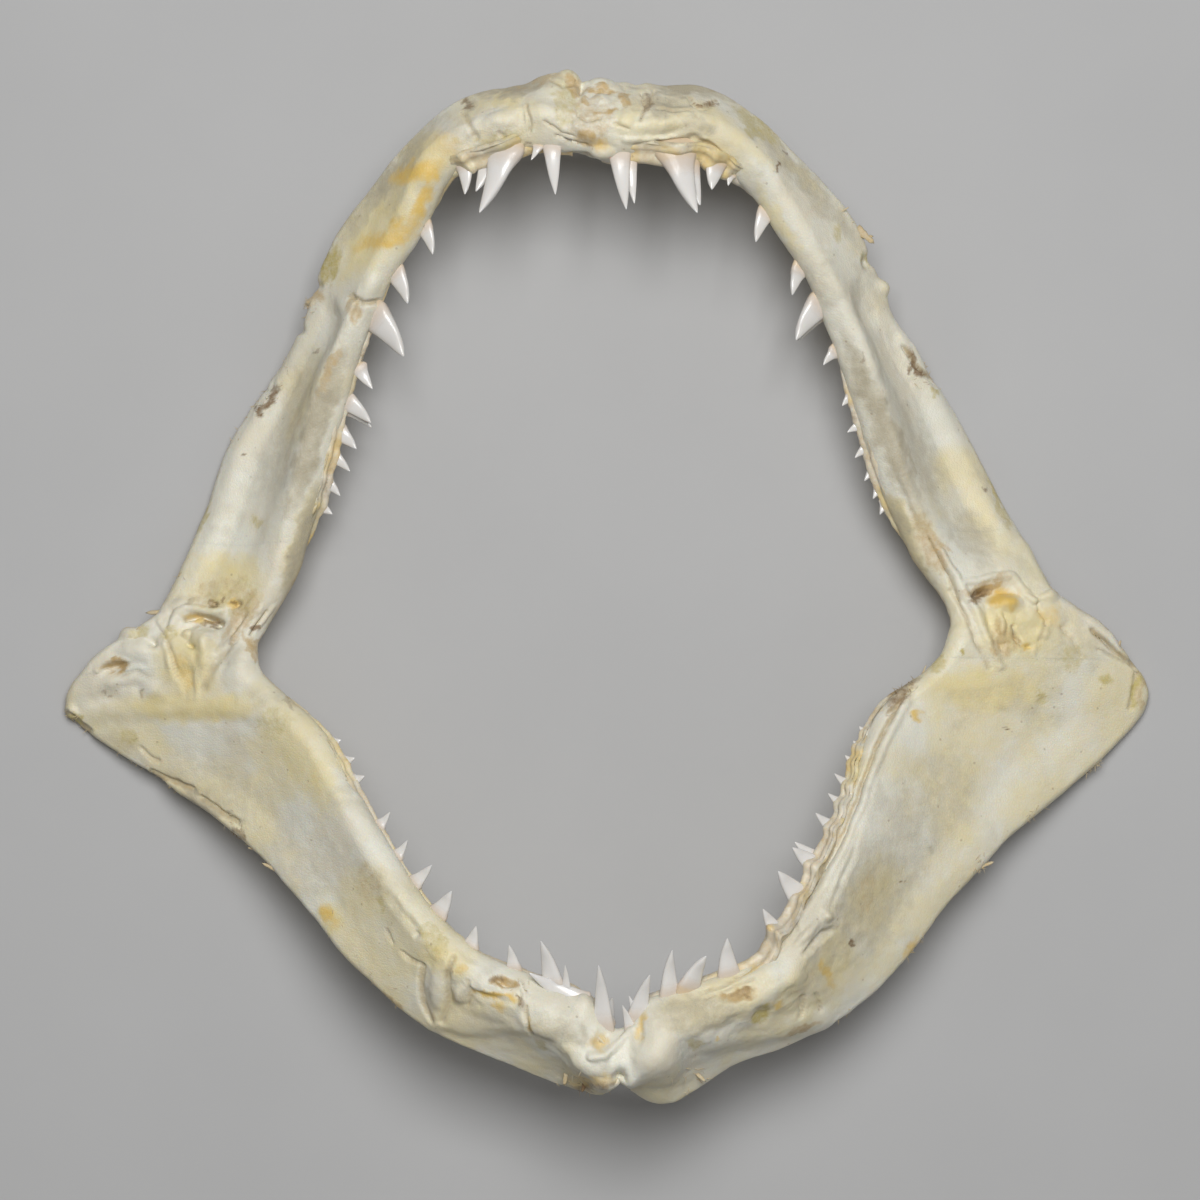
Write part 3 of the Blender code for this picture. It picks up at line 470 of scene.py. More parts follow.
# Stains of each kind, given as ovals with the strength of the stain for the amount. The ones
# marked below as painted shade darken the cartilage where shade falls.
STAINS_AND_SHADE = {
    "ochre": ovals(
        ("upper front corner", 417, 172, 36, 15, 1.0, -22),
        ("its deepest part", 434, 172, 10, 18, 1.0, 10),
        ("along the teeth", 424, 202, 10, 32, 0.9, 30),
        ("second patch of the arm", 390, 236, 44, 13, 0.85, -22),
        ("before the corner", 448, 144, 22, 14, 0.3, -20),
        ("lip of the symphysis", 606, 144, 14, 9, 0.5),
        ("right joint's slit", 203, 617, 20, 5, 0.7, 8),
        ("larger pit", 236, 605, 9, 6, 0.8, -20),
        ("right joint's channel", 184, 672, 12, 26, 0.55, -10),
        ("low edge of the right half", 329, 916, 8, 17, 0.8, -20),
        ("beside the lobe", 462, 970, 10, 7, 0.5, 10),
        ("below the dark pit", 494, 996, 26, 5, 1.0, 12),
        ("its lower branch", 498, 1006, 7, 6, 0.7),
        ("crack of the right front", 528, 1022, 3, 12, 0.7, -8),
        ("under the right chin", 590, 1080, 32, 8, 0.6, -6),
        ("mouth of the lower symphysis", 600, 1044, 13, 13, 0.6),
        ("left side of the symphysis", 642, 1028, 5, 22, 0.7, 8),
        ("dot beside it", 783, 1005, 4.5, 4.5, 0.6),
        ("dot of the left front", 719, 1037, 5, 3, 0.7),
        ("left front's streak", 826, 972, 7, 18, 0.7, -14),
        ("low rim of the left blade", 912, 948, 7, 16, 0.7, 40),
        ("beside the flap", 914, 714, 9, 7, 0.9, -30),
        ("pad of the left joint", 1005, 600, 24, 14, 1.0, -8),
        ("left hind pad", 1052, 614, 16, 13, 0.45, 10),
        ("third brown hollow", 1028, 646, 10, 4, 0.7),
    ),
    "olive": ovals(
        ("outer edge of the arm", 330, 264, 9, 26, 0.8, 18),
        # Olive, partly painted shade under the upper front's overhang
        ("under the right front", 500, 137, 34, 9, 0.35, -14),
        ("beside the symphysis", 563, 104, 14, 28, 0.4),
        ("left front's outer band", 755, 126, 42, 10, 0.6, 38),
        ("left arm's smudge", 838, 233, 6, 13, 0.5, -10),
        ("left arm's edge", 866, 260, 6, 12, 0.5, -10),
        ("right arm's spot", 260, 521, 7, 7, 0.5),
        ("right arm's low edge", 206, 515, 5, 22, 0.6, 20),
        ("left arm's low edge", 998, 500, 5, 40, 0.6, -28),
        ("left corner's fold", 1137, 690, 5, 22, 0.9, 8),
        ("ring on the left blade", 1042, 701, 8, 9, 0.6),
        ("left hind spots", 1107, 677, 10, 5, 0.7),
        ("left hind patch", 1074, 658, 14, 20, 0.3, 10),
        ("crevice spots of the left arm", 934, 394, 6, 7, 0.6),
        ("right arm's end", 236, 600, 34, 22, 0.2, -8),
        ("right joint's left side", 170, 632, 12, 12, 0.5),
        ("hind edge's leaf", 138, 633, 12, 5, 0.5, -10),
        ("patch of the right blade", 272, 722, 24, 16, 0.3),
        ("rim of the corner", 80, 720, 13, 6, 0.8, 35),
        ("smudge of the right blade", 131, 738, 10, 8, 0.4),
        ("by the second tooth", 381, 905, 7, 10, 0.5),
        ("before the hole", 432, 938, 22, 12, 0.5, 45),
        ("chin of the right half", 544, 1046, 9, 5, 0.5),
        ("yellow dip", 762, 1014, 17, 8, 0.9, -32),
        ("left front's lower dot", 695, 1040, 10, 6, 0.4),
        ("neck's inner edge", 938, 664, 9, 10, 0.6),
        ("dash of the left neck", 964, 650, 2, 5, 1.0, -5),
    ),
    "tan": ovals(
        ("bump over the front", 574, 84, 9, 14, 0.8),
        ("left corner's end", 1144, 690, 6, 24, 0.5, 4),
        ("upper symphysis", 590, 122, 30, 34, 0.35),
        ("top of the lens", 604, 89, 21, 5, 0.9),
        ("left rim of the lens", 584, 101, 5, 11, 0.8),
        ("right rim of the lens", 623, 101, 5, 11, 0.8),
        ("lower rim of the lens", 602, 114, 18, 4, 0.8, 4),
        ("lower part of the symphysis", 590, 138, 20, 10, 0.85, 10),
        ("right edge of the arm's knob", 312, 298, 13, 12, 0.6),
        ("below the crease", 354, 310, 8, 20, 0.6, 15),
        ("right arm's hollow", 328, 372, 7, 30, 0.5, 18),
        ("left arm's end", 930, 540, 12, 40, 0.6, -28),
        ("top of the right front", 530, 80, 40, 8, 0.4, -8),
        ("right arm's end", 222, 592, 34, 18, 0.3, -8),
        ("right joint's strands", 243, 618, 14, 38, 0.55, 28),
        ("top of the right neck", 256, 650, 6, 20, 0.7, -30),
        # Tan, partly painted shade in the dark hollow
        ("dark hollow of the hind edge", 114, 666, 20, 8, 1.0, -12),
        ("right half's middle", 368, 884, 13, 26, 0.22, -15),
        ("dark pit", 505, 982, 15, 7, 0.9, 20),
        ("rim of the right front", 385, 1002, 40, 7, 0.7, 42),
        ("rough patch", 737, 995, 21, 9, 1.0, -14),
        # Tan, partly painted shade under the left front
        ("under the left front", 800, 1029, 20, 5, 0.7, -14),
        ("streak of the left blade", 866, 895, 9, 34, 0.22, 16),
        ("upper side of the left slit", 988, 589, 20, 7, 1.0, -20),
        ("arch over the left joint", 985, 583, 30, 6, 0.5, -20),
        ("left joint's strands", 1002, 640, 12, 24, 0.6, -6),
        ("beside the strands", 1014, 640, 8, 12, 0.6, -20),
    ),
    "brown": ovals(
        # Brown, partly painted shade in the slit's deep end
        ("deep end of the slit", 213, 621, 10, 5, 0.75, 25),
        ("pit of the right arm", 215, 603, 5.5, 4.5, 0.5),
        ("hook of the arm's inner edge", 257, 627, 6, 3.5, 0.8, -30),
        ("bottom of the larger pit", 236, 605, 5, 3, 0.6, -20),
        ("smudge at the margin", 284, 701, 9, 4, 0.35, 35),
        ("flap of the rim", 238, 836, 9, 4, 0.6, 40),
        ("edge of the dark pit", 497, 978, 6, 4, 0.7, 20),
        ("end of the crack", 517, 1000, 6, 4, 0.6, 25),
        ("lower edge of the chin", 590, 1086, 28, 6, 0.5, -8),
        ("grain of the rough patch", 740, 993, 14, 6, 0.35, -14),
        ("flap by the gum", 903, 692, 24, 8, 0.7, -42),
        ("left joint's slit", 978, 595, 12, 6, 0.65, -24),
        ("grit of the right arm", 266, 398, 5, 24, 0.9, 32),
        ("grit of the left arm", 917, 366, 4, 22, 0.9, -38),
        ("mark of the left front", 775, 166, 8, 3, 0.9, -40),
        ("dash of the left front", 790, 153, 4, 2, 0.6),
        ("right front's specks", 468, 105, 5, 3, 0.7, -30),
        ("crack of the left front", 703, 106, 12, 2.5, 0.7, -10),
        ("creases by the symphysis", 646, 104, 5, 14, 0.5, 10),
        # Brown, partly painted shade deep under the upper front's overhang
        ("deep under the right front", 522, 145, 14, 3, 0.5, -10),
        ("dash of the left blade", 1008, 727, 3.5, 2, 0.8, 35),
        ("speck of the left blade", 902, 883, 2, 2, 0.9),
        ("speck of the left front", 851, 944, 2.5, 3, 0.9),
        ("dash of the left arm", 911, 371, 2, 6, 0.9, 15),
        ("mark of the left arm", 864, 357, 2.5, 6, 0.5, 10),
        ("mark of the right arm", 315, 356, 5, 2, 0.5),
        ("speck of the right arm", 244, 457, 2, 2, 0.7),
        ("speck of the left arm's end", 979, 488, 2.5, 2, 0.6),
        ("specks near the corner", 110, 693, 6, 2, 0.4),
        ("specks of the right blade", 144, 690, 2.5, 5, 0.4, -30),
        ("green speck of the right joint", 224, 601, 2.5, 3, 0.7),
        ("speck below the ball", 200, 667, 1.8, 2, 0.8),
    ),
    "cream": ovals(
        ("around the ochre patch", 425, 160, 46, 34, 0.8, -35),
        ("around the second patch", 372, 246, 52, 22, 0.8, -30),
        ("right front's top", 506, 98, 20, 14, 0.7),
        ("right of the symphysis", 628, 120, 16, 30, 0.6, 10),
        ("left front's inner band", 740, 140, 50, 16, 0.5, 40),
        ("outer edge of the left arm", 800, 176, 44, 9, 0.5, 48),
        ("left arm's inner edge", 778, 220, 9, 64, 0.6, -32),
        ("left arm's low half", 985, 520, 20, 60, 0.5, -28),
        ("right arm's low half", 225, 580, 50, 40, 0.8),
        ("left hind face", 1060, 640, 50, 40, 0.5, 20),
        ("inner edge of the right arm", 303, 540, 16, 70, 0.8, 18),
        ("inner edge of the left arm", 905, 535, 16, 68, 0.9, -25),
        ("upper half of the right arm", 380, 225, 42, 90, 0.8, 38),
        ("right joint", 190, 670, 44, 50, 0.8, -8),
        ("along the long fold", 190, 705, 100, 22, 0.9),
        ("blade below the joint", 300, 760, 30, 80, 0.8, -35),
        ("around the low edge", 334, 922, 18, 26, 0.8, -25),
        ("right half's front", 372, 900, 34, 46, 0.6, -30),
        ("upper front plates", 440, 960, 50, 26, 0.8, 30),
        ("left front", 720, 1000, 80, 30, 0.6, -15),
        ("around the streak", 836, 960, 26, 40, 0.8, 10),
        ("left blade's front", 870, 900, 34, 60, 0.7, 26),
        ("left neck", 985, 690, 84, 34, 0.95),
        ("left joint", 1020, 630, 60, 44, 0.9, 10),
    ),
    # Grey: partly the thin cartilage's own grey-green, mostly painted shade on walls, hollows,
    # edges and under overhangs
    "grey_and_painted_shade": ovals(
        # Painted shade on the steep walls by the teeth and on the arms' inner edges, which turn
        # from the light
        ("right arm's shaded wall", 316, 430, 17, 120, 0.9, 17),
        ("left arm's shaded wall", 884, 425, 17, 130, 0.9, -23),
        ("inner edge of the right arm", 303, 540, 14, 74, 0.9, 18),
        ("inner edge of the left arm", 905, 535, 14, 70, 0.7, -25),
        ("left arm's end", 975, 540, 26, 44, 0.5, -28),
        # Painted shade on the tops of the upper front, which face away from the light
        ("top of the right front", 510, 86, 66, 12, 1.0, -8),
        ("top of the left front", 690, 88, 60, 12, 1.0, 10),
        # Painted shade along the arms' outer edges
        ("outer edge of the right arm", 390, 180, 112, 15, 0.6, -51),
        ("outer edge of the left arm", 806, 184, 104, 15, 0.6, 48),
        # Painted shade on the front of the left blade and on the lower fronts, which turn from
        # the light
        ("front of the left blade", 860, 905, 110, 60, 0.4, -50),
        ("front of the left half", 700, 1012, 60, 22, 0.6, -10),
        ("front of the right half", 560, 1030, 50, 16, 0.5, 20),
        ("rim of the right blade", 205, 802, 60, 8, 0.9, 33),
        ("right front's grit", 470, 106, 10, 7, 0.7, -20),
        # Painted shade under the overhang of the upper front
        ("under the right front", 500, 146, 30, 6, 0.9, -14),
        ("left front's membrane", 662, 104, 44, 16, 0.7),
        ("lower membrane", 690, 128, 30, 12, 0.5),
        # Painted shadow under the membrane's edge and under the front corner
        ("under the membrane", 668, 141, 46, 5, 0.9, -6),
        ("under the front corner", 712, 152, 20, 5, 0.8, 35),
        ("smudges of the left arm", 897, 426, 5, 12, 0.6),
        ("second smudge", 918, 439, 9, 4, 0.5),
        # Grey in the hollows: partly the thin cartilage's own grey, partly painted shade
        ("hollow of the right arm", 288, 430, 17, 90, 0.35, 14),
        ("hollow of the left arm", 918, 450, 18, 90, 0.4, -25),
        ("hollow of the right blade", 230, 785, 90, 30, 0.2, 34),
        ("hollow of the left blade", 930, 800, 50, 80, 0.3, 30),
        # Painted shadow in the groove
        ("shaded groove of the left front", 818, 941, 20, 6, 0.6, -42),
        ("smear of the left blade", 931, 847, 3, 7, 0.6, 10),
        ("smudge above the right joint", 194, 600, 8, 4, 0.8),
    ),
}
SOFT_STAINS_AND_SHADE = ("ochre", "cream", "grey_and_painted_shade")    # kinds whose patches fade out slowly

# Frayed tissue of each half: its middle and reach in pixels, how many fibres, their length, and
# how much they curl
FRAYS = {
    "upper_left": (
        ("crevice of the arm", 922, 372, 24, 34, 1.8, 1.4),
        ("edge by the joint", 1046, 588, 16, 26, 2.2, 1.2),
        ("inner edge by the joint", 946, 600, 12, 14, 2.0, 1.2),
        ("edge above the step", 846, 214, 10, 5, 1.6, 1.0),
    ),
    "upper_right": (
        ("knob of the arm", 306, 306, 14, 16, 2.4, 1.0),
        ("grit of the arm", 266, 398, 28, 34, 2.0, 1.4),
        ("edge above the grit", 284, 362, 12, 8, 1.6, 1.0),
        ("low edge of the arm", 232, 438, 10, 7, 2.0, 0.8),
        ("edge by the joint", 172, 590, 16, 26, 2.0, 1.2),
        ("end of the gum", 321, 512, 10, 12, 1.8, 0.8),
    ),
    "lower_left": (
        ("under the chin", 690, 1076, 20, 20, 2.6, 1.2),
        ("low rim of the blade", 1098, 770, 14, 36, 2.4, 1.2),
        ("rim further on", 1034, 818, 14, 20, 2.0, 1.2),
        ("rim of the blade's end", 985, 866, 14, 24, 2.6, 1.4),
        ("low rim", 915, 945, 18, 14, 1.8, 1.0),
        ("edge of the front", 846, 1015, 14, 8, 2.0, 1.0),
        ("brown flap", 900, 690, 20, 18, 2.0, 1.4),
        ("hind edge", 1110, 640, 18, 8, 1.8, 1.0),
    ),
    "lower_right": (
        ("corner", 76, 722, 16, 22, 2.0, 1.2),
        ("rim of the blade", 150, 775, 50, 46, 1.6, 1.0),
        ("rim of the blade's end", 236, 838, 20, 22, 2.0, 1.2),
        ("hind edge", 148, 634, 14, 14, 2.0, 1.0),
        ("low edge", 332, 926, 22, 14, 1.6, 1.0),
        ("edge of the front", 390, 1000, 30, 16, 1.6, 1.0),
        ("by the front teeth", 522, 988, 9, 14, 1.8, 1.4),
        ("under the chin", 588, 1082, 26, 34, 2.6, 1.2),
    ),
}

# Torn tags of each half: the root and the tip in pixels, the width and the thickness
TAGS = {
    "upper_left": (
        ("tag above the left step", (859, 231), (874, 243), 3.0, 0.9),
        ("second leaf of the tag", (862, 236), (873, 236), 1.6, 0.7),
        ("hair of the left edge", (843, 212), (849, 207), 0.7, 0.4),
        ("leaf by the left joint", (1044, 584), (1052, 589), 2.0, 0.7),
    ),
    "upper_right": (
        ("curl by the right joint", (160, 616), (146, 612), 2.0, 0.9),
        ("its lower leaf", (158, 618), (149, 621), 1.4, 0.7),
        ("loose leaf of the arm", (184, 572), (178, 576), 1.4, 0.5),
    ),
    "lower_left": (
        ("flake of the chin", (697, 1074), (706, 1081), 1.6, 0.4),
        ("hair of the flap", (922, 673), (926, 665), 0.8, 0.4),
        ("curl of the rim", (983, 866), (994, 862), 1.4, 0.6),
        ("leaf of the left edge", (1119, 645), (1121, 641), 1.4, 0.5),
    ),
    "lower_right": (
        ("leaf of the hind edge", (136, 633), (142, 627), 2.6, 0.7),
        ("thorn of the rim", (272, 868), (262, 863), 1.4, 0.9),
        ("small thorn", (252, 850), (248, 848), 0.8, 0.5),
        ("leaf under the chin", (566, 1074), (564, 1085), 2.0, 0.4),
        ("second leaf under the chin", (584, 1084), (582, 1092), 1.8, 0.4),
    ),
}


def smooth(value):
    """Rise softly from 0 to 1 as value goes from 0 to 1."""
    value = np.clip(value, 0.0, 1.0)
    return value * value * (3.0 - 2.0 * value)


def swell(value, middle, reach):
    """A soft hump of height 1 at middle that ends reach away from it."""
    distance = np.minimum(np.abs(value - middle) / reach, 1.0)
    return 0.5 + 0.5 * np.cos(np.pi * distance)


def round_off(distance, radius):
    """Height of a quarter circle of radius 1, distance/radius in from its edge."""
    inside = 1.0 - np.clip(distance / radius, 0.0, 1.0)
    return np.sqrt(np.maximum(0.0, 1.0 - inside * inside))


def unit(vectors):
    """The vectors made one long."""
    return vectors / np.maximum(np.linalg.norm(vectors, axis=-1, keepdims=True), 1e-9)


def dot(first, second):
    """The dot products, kept as a last axis of one."""
    return np.sum(first * second, axis=-1, keepdims=True)


SEED_SHIFT = 17.31        # cells by which each seed moves the noise
SEED_STEP = 2654435
CELL_PRIMES = (73856093, 19349663, 83492791)
SCRAMBLE = 1274126177
LOW_BITS = 0xFFFF


def ripple(points, size, seed):
    """Smooth noise from -1 to 1 over the points, its waves about size millimetres long."""
    cell = points / size + seed * SEED_SHIFT
    base = np.floor(cell)
    part = smooth(cell - base)
    base = base.astype(np.int64)
    total = np.zeros(points.shape[:-1])
    for corner in itertools.product((0, 1), repeat=3):
        weight = np.ones(points.shape[:-1])
        code = np.full(points.shape[:-1], seed * SEED_STEP + 97, dtype=np.int64)
        for axis, (pick, prime) in enumerate(zip(corner, CELL_PRIMES)):
            share = part[..., axis]
            weight = weight * (share if pick else 1.0 - share)
            code = code ^ ((base[..., axis] + pick) * prime)
        code = ((code >> 3) ^ code) * SCRAMBLE
        code = ((code >> 15) ^ code) & LOW_BITS
        total += weight * (code / (LOW_BITS / 2.0) - 1.0)
    return total


def ripples(points, size, seed, layers):
    """Several layers of smooth noise, each half as large and half as strong as the one before."""
    return sum(ripple(points, size / 2 ** k, seed + k) / 2 ** k for k in range(layers))


def run_along(points):
    """How far along a line each of its points lies."""
    steps = np.linalg.norm(np.diff(points, axis=0), axis=1)
    return np.concatenate(([0.0], np.cumsum(steps)))


def read_stations(stations, places):
    """Read a smooth curve through the stations; places count stations from the symphysis."""
    rows = np.array(stations)
    places = np.asarray(places, dtype=float)
    last = len(rows) - 1
    index = np.minimum(places.astype(int), last - 1)
    part = (places - index)[:, None]
    before = rows[np.maximum(index - 1, 0)]
    here = rows[index]
    after = rows[index + 1]
    beyond = rows[np.minimum(index + 2, last)]
    bend = 2.0 * before - 5.0 * here + 4.0 * after - beyond
    rest = 3.0 * here - before - 3.0 * after + beyond
    return 0.5 * (2.0 * here + part * (after - before + part * (bend + part * rest)))


Sections = namedtuple("Sections", "half places progress tooth outer across facing along width "
                      "level tilt room")


def thicknesses(form, progress):
    """How far the labial and lingual faces stand off the sheet, before any hollow."""
    blend = smooth(progress / FRONT_SHARE)
    labial_front, labial_rear = form["labial"]
    lingual_front, lingual_rear = form["lingual"]
    labial = labial_front + (labial_rear - labial_front) * blend
    lingual = lingual_front + (lingual_rear - lingual_front) * blend
    return labial, lingual


def overhang(thick, radius, level, tilt):
    """How far a rounded edge of a tilted sheet reaches past the sheet's own end."""
    return np.hypot(radius * level, thick * tilt) - radius * level


def read_sections(half, places):
    """The cartilage's sections at the places: their two ends, their three directions, how far
    across they are, how level and how tilted, and how far the tooth edge bulges past its end."""
    places = np.asarray(places, dtype=float)
    last = len(half.stations) - 1.0
    progress = (places / last)[:, None]
    row = read_stations(half.stations, places)
    tooth = row[:, :3]
    outer = row[:, 3:]
    step = 0.05
    high = read_stations(half.stations, np.minimum(places + step, last))
    low = read_stations(half.stations, np.maximum(places - step, 0.0))
    along = unit(high[:, :3] + high[:, 3:] - low[:, :3] - low[:, 3:])
    sideways = np.zeros_like(along)
    sideways[:, 0] = np.sign(along[:, 0])
    turn = smooth(places)[:, None]
    along = unit(sideways * (1.0 - turn) + along * turn)
    across = unit(outer - tooth)
    facing = unit(np.cross(along, across))
    facing = facing * np.where(facing[:, 2:] < 0.0, -1.0, 1.0)
    labial, lingual = thicknesses(half.form, progress)
    flat = across * (1.0, 1.0, 0.0)
    level = np.linalg.norm(flat, axis=1, keepdims=True)
    flat = unit(flat)
    tilt = np.hypot(facing[:, :1], facing[:, 1:2])
    room = overhang(lingual, half.form["tooth_round"], level, tilt)
    outer = outer - flat * overhang(labial, half.form["outer_round"], level, tilt)
    tooth = tooth + flat * room
    across = unit(outer - tooth)
    facing = unit(facing - across * dot(facing, across))
    width = np.linalg.norm(outer - tooth, axis=1)[:, None]
    return Sections(half, places, progress, tooth, outer, across, facing, along, width, level,
                    tilt, room)


def spaced_places(half, spacing, first=0.0, last=None):
    """Places along a half that lie spacing apart on its surface."""
    if last is None:
        last = len(half.stations) - 1.0
    fine = np.linspace(first, last, 400)
    row = read_stations(half.stations, fine)
    run = run_along(0.5 * (row[:, :3] + row[:, 3:]))
    count = max(2, int(run[-1] / spacing) + 1)
    return np.interp(np.linspace(0.0, run[-1], count), run, fine)


def ring_steps(labial_steps, lingual_steps):
    """Where a ring's points lie: u across the sheet, and +1 on the labial or -1 the lingual."""
    over = 0.5 - 0.5 * np.cos(np.pi * np.arange(labial_steps + 1) / labial_steps)
    back = 0.5 - 0.5 * np.cos(np.pi * np.arange(lingual_steps - 1, 0, -1) / lingual_steps)
    side = np.concatenate((np.ones(len(over)), -np.ones(len(back))))
    return np.concatenate((over, back)), side


def skin_points(cut, u, side):
    """Points of the cartilage's surface at the sections, u across them, on the given side."""
    form = cut.half.form
    u = np.broadcast_to(u, (len(cut.places), len(u)))
    labial, lingual = thicknesses(form, cut.progress)
    start, full, waning, end = form["fossa_reach"]
    depth, wall_start, wall_end, slope_start, slope_end = form["fossa"]
    window = smooth((cut.progress - start) / (full - start))
    window = window * smooth((end - cut.progress) / (end - waning))
    wall = smooth((u - wall_start) / (wall_end - wall_start))
    slope = 1.0 - smooth((u - slope_start) / (slope_end - slope_start))
    labial = labial - window * depth * wall * slope
    for height, crest, half_width in (form["tooth_ridge"], form["outer_rim"]):
        labial = labial + window * height * swell(u, crest, half_width)
    height, crest, half_width = form["shoulder"]
    labial = labial + (1.0 - smooth(cut.progress / start)) * height * swell(u, crest, half_width)
    edge = round_off(u * cut.width, form["tooth_round"])
    edge = edge * round_off((1.0 - u) * cut.width, form["outer_round"])
    stand = np.where(side > 0.0, labial, -lingual) * edge
    base = cut.tooth[:, None] + cut.across[:, None] * (u * cut.width)[..., None]
    return base + cut.facing[:, None] * stand[..., None]


def grid_normals(points):
    """Outward directions of a grid of closed rings."""
    along = np.gradient(points, axis=0)
    around = np.roll(points, -1, axis=1) - np.roll(points, 1, axis=1)
    normals = unit(np.cross(along, around))
    middle = points.mean(axis=1, keepdims=True)
    if np.sum(normals * (points - middle)) < 0.0:
        normals = -normals
    return normals


def pixel_at(height):
    """The size of one of the photograph's pixels at a height."""
    return PHOTO_PIXEL * (CAMERA_HEIGHT - height) / CAMERA_HEIGHT


def photo_places(points):
    """Where the points show in the photograph, in its pixels."""
    pixel = pixel_at(points[..., 2])
    x = PHOTO_MIDDLE + (points[..., 0] - CAMERA_X) / pixel
    y = PHOTO_MIDDLE - (points[..., 1] - CAMERA_Y) / pixel
    return np.stack((x, y), axis=-1)


def from_photo(x, y, z):
    """The point at height z that shows at a pixel of the photograph."""
    pixel = pixel_at(z)
    return Vector(((x - PHOTO_MIDDLE) * pixel + CAMERA_X,
                   (PHOTO_MIDDLE - y) * pixel + CAMERA_Y, z))


def oval_field(seen, oval):
    """How strongly each seen place lies in a soft oval, from 0 at its edge to 1."""
    turn = math.radians(oval.turn)
    dx = seen[..., 0] - oval.x
    dy = seen[..., 1] - oval.y
    along = (dx * math.cos(turn) + dy * math.sin(turn)) / oval.long
    aside = (dy * math.cos(turn) - dx * math.sin(turn)) / oval.wide
    return np.maximum(0.0, 1.0 - along * along - aside * aside) ** 2


def line_field(seen, line):
    """How strongly each seen place lies on a soft line, from 0 beside it to 1."""
    nearest = np.full(seen.shape[:-1], 1e9)
    for start, stop in zip(line.points, line.points[1:]):
        run = np.subtract(stop, start).astype(float)
        part = np.clip(((seen - start) @ run) / (run @ run), 0.0, 1.0)
        gap = np.linalg.norm(seen - start - part[..., None] * run, axis=-1)
        nearest = np.minimum(nearest, gap)
    return swell(nearest, 0.0, line.wide)


def warped(points, seed, amount, size):
    """The points' places in the photograph, pushed about a little so that edges run unevenly."""
    push = [ripples(points, size, seed + step, 3) for step in (0, 50)]
    return photo_places(points) + np.stack(push, axis=-1) * amount


# Ripples of the whole surface: wave length, height where even, what rough parts add, seed, layers
RIPPLES = ((16.0, 0.5, 0.0, 0, 2), (4.2, 0.12, 0.30, 5, 3), (1.7, 0.02, 0.13, 29, 2))
# Stains that drift over the whole surface: kind, wave length, seed, how sharply and how far the
# waves turn into stain, and its strength behind, on the turned edges and everywhere
DRIFTS = (("ochre", 30.0, 9, 1.6, 0.0, 0.5, 0.0, 0.0), ("tan", 18.0, 13, 1.6, 0.0, 0.6, 0.5, 0.0),
          ("cream", 26.0, 17, 1.4, 0.15, 0.0, 0.0, 0.5),
          ("grey_and_painted_shade", 14.0, 19, 1.6, -0.1, 0.0, 0.0, 0.22))
CREASE_SHADE_DEPTH = 0.5         # depth from which a line gets painted crease shade, with a little tan
EDGE_STRAY = (1.6, 6.0)   # how far the edges of forms stray, in pixels, and over what length


def turned_up(normals, start, blend):
    """Where the surface faces the camera, from 0 at start to 1 a blend further."""
    return smooth((normals[..., 2] - start) / blend)


def carve(points, strength):
    """Give a grid of rings the dents, folds, bumps and uneven surface of dried cartilage."""
    normals = grid_normals(points)
    seen = photo_places(points)
    edge = turned_up(normals, -0.75, 0.3)
    push = np.zeros(points.shape[:-1])
    for oval in EDGE_OVALS:
        push += oval.amount * oval_field(seen, oval) * edge
    points = points + normals * push[..., None]
    normals = grid_normals(points)
    seen = warped(points, RELIEF_SEED, *EDGE_STRAY)
    face = turned_up(normals, -0.12, 0.3)
    push = np.zeros(points.shape[:-1])
    rough = np.zeros(points.shape[:-1])
    for oval in FACE_OVALS:
        push += oval.amount * oval_field(seen, oval) * face
    for line in FACE_LINES:
        push += line.amount * line_field(seen, line) * face
    for oval in ROUGH_OVALS:
        rough = np.maximum(rough, oval.amount * oval_field(seen, oval))
    for size, even, extra, seed, layers in RIPPLES:
        waves = ripples(points, size, RELIEF_SEED + seed, layers)
        push += strength * (even + extra * rough) * waves
    return points + normals * push[..., None]


def lay(masks, kind, strength):
    """Lay a stain or painted shade on a mask where it is stronger than what is there."""
    masks[kind] = np.maximum(masks[kind], strength)


def stain_and_shade_masks(points, normals):
    """How strongly each kind of stain, and the painted shade, lies on the points."""
    seen = warped(points, RELIEF_SEED + 7, 5.0, 7.0)
    seen = seen + warped(points, RELIEF_SEED + 33, 3.2, 2.2) - photo_places(points)
    face = turned_up(normals, -0.25, 0.4)
    masks = {kind: np.zeros(points.shape[:-1]) for kind in STAINS_AND_SHADE}
    for kind, stains_or_shade in STAINS_AND_SHADE.items():
        gain = 1.0 if kind in SOFT_STAINS_AND_SHADE else 1.3
        for stain_or_shade in stains_or_shade:
            patch = smooth(gain * np.sqrt(oval_field(seen, stain_or_shade)))
            lay(masks, kind, patch * stain_or_shade.amount * face)
    seen = warped(points, RELIEF_SEED, *EDGE_STRAY)
    # Deep creases get painted shade: grey, with a little tan
    for line in FACE_LINES:
        if line.amount < -CREASE_SHADE_DEPTH:
            crease_shade = line_field(seen, line) * min(0.8, -0.6 * line.amount) * face
            lay(masks, "grey_and_painted_shade", crease_shade)
            lay(masks, "tan", 0.4 * crease_shade)
    back = 1.0 - face
    thin = face * (1.0 - turned_up(normals, 0.05, 0.45))
    for kind, size, seed, gain, shift, behind, at_edges, everywhere in DRIFTS:
        waves = ripples(points, size, RELIEF_SEED + seed, 3)
        share = behind * back + at_edges * thin + everywhere
        lay(masks, kind, share * smooth(waves * gain + shift))
    return masks


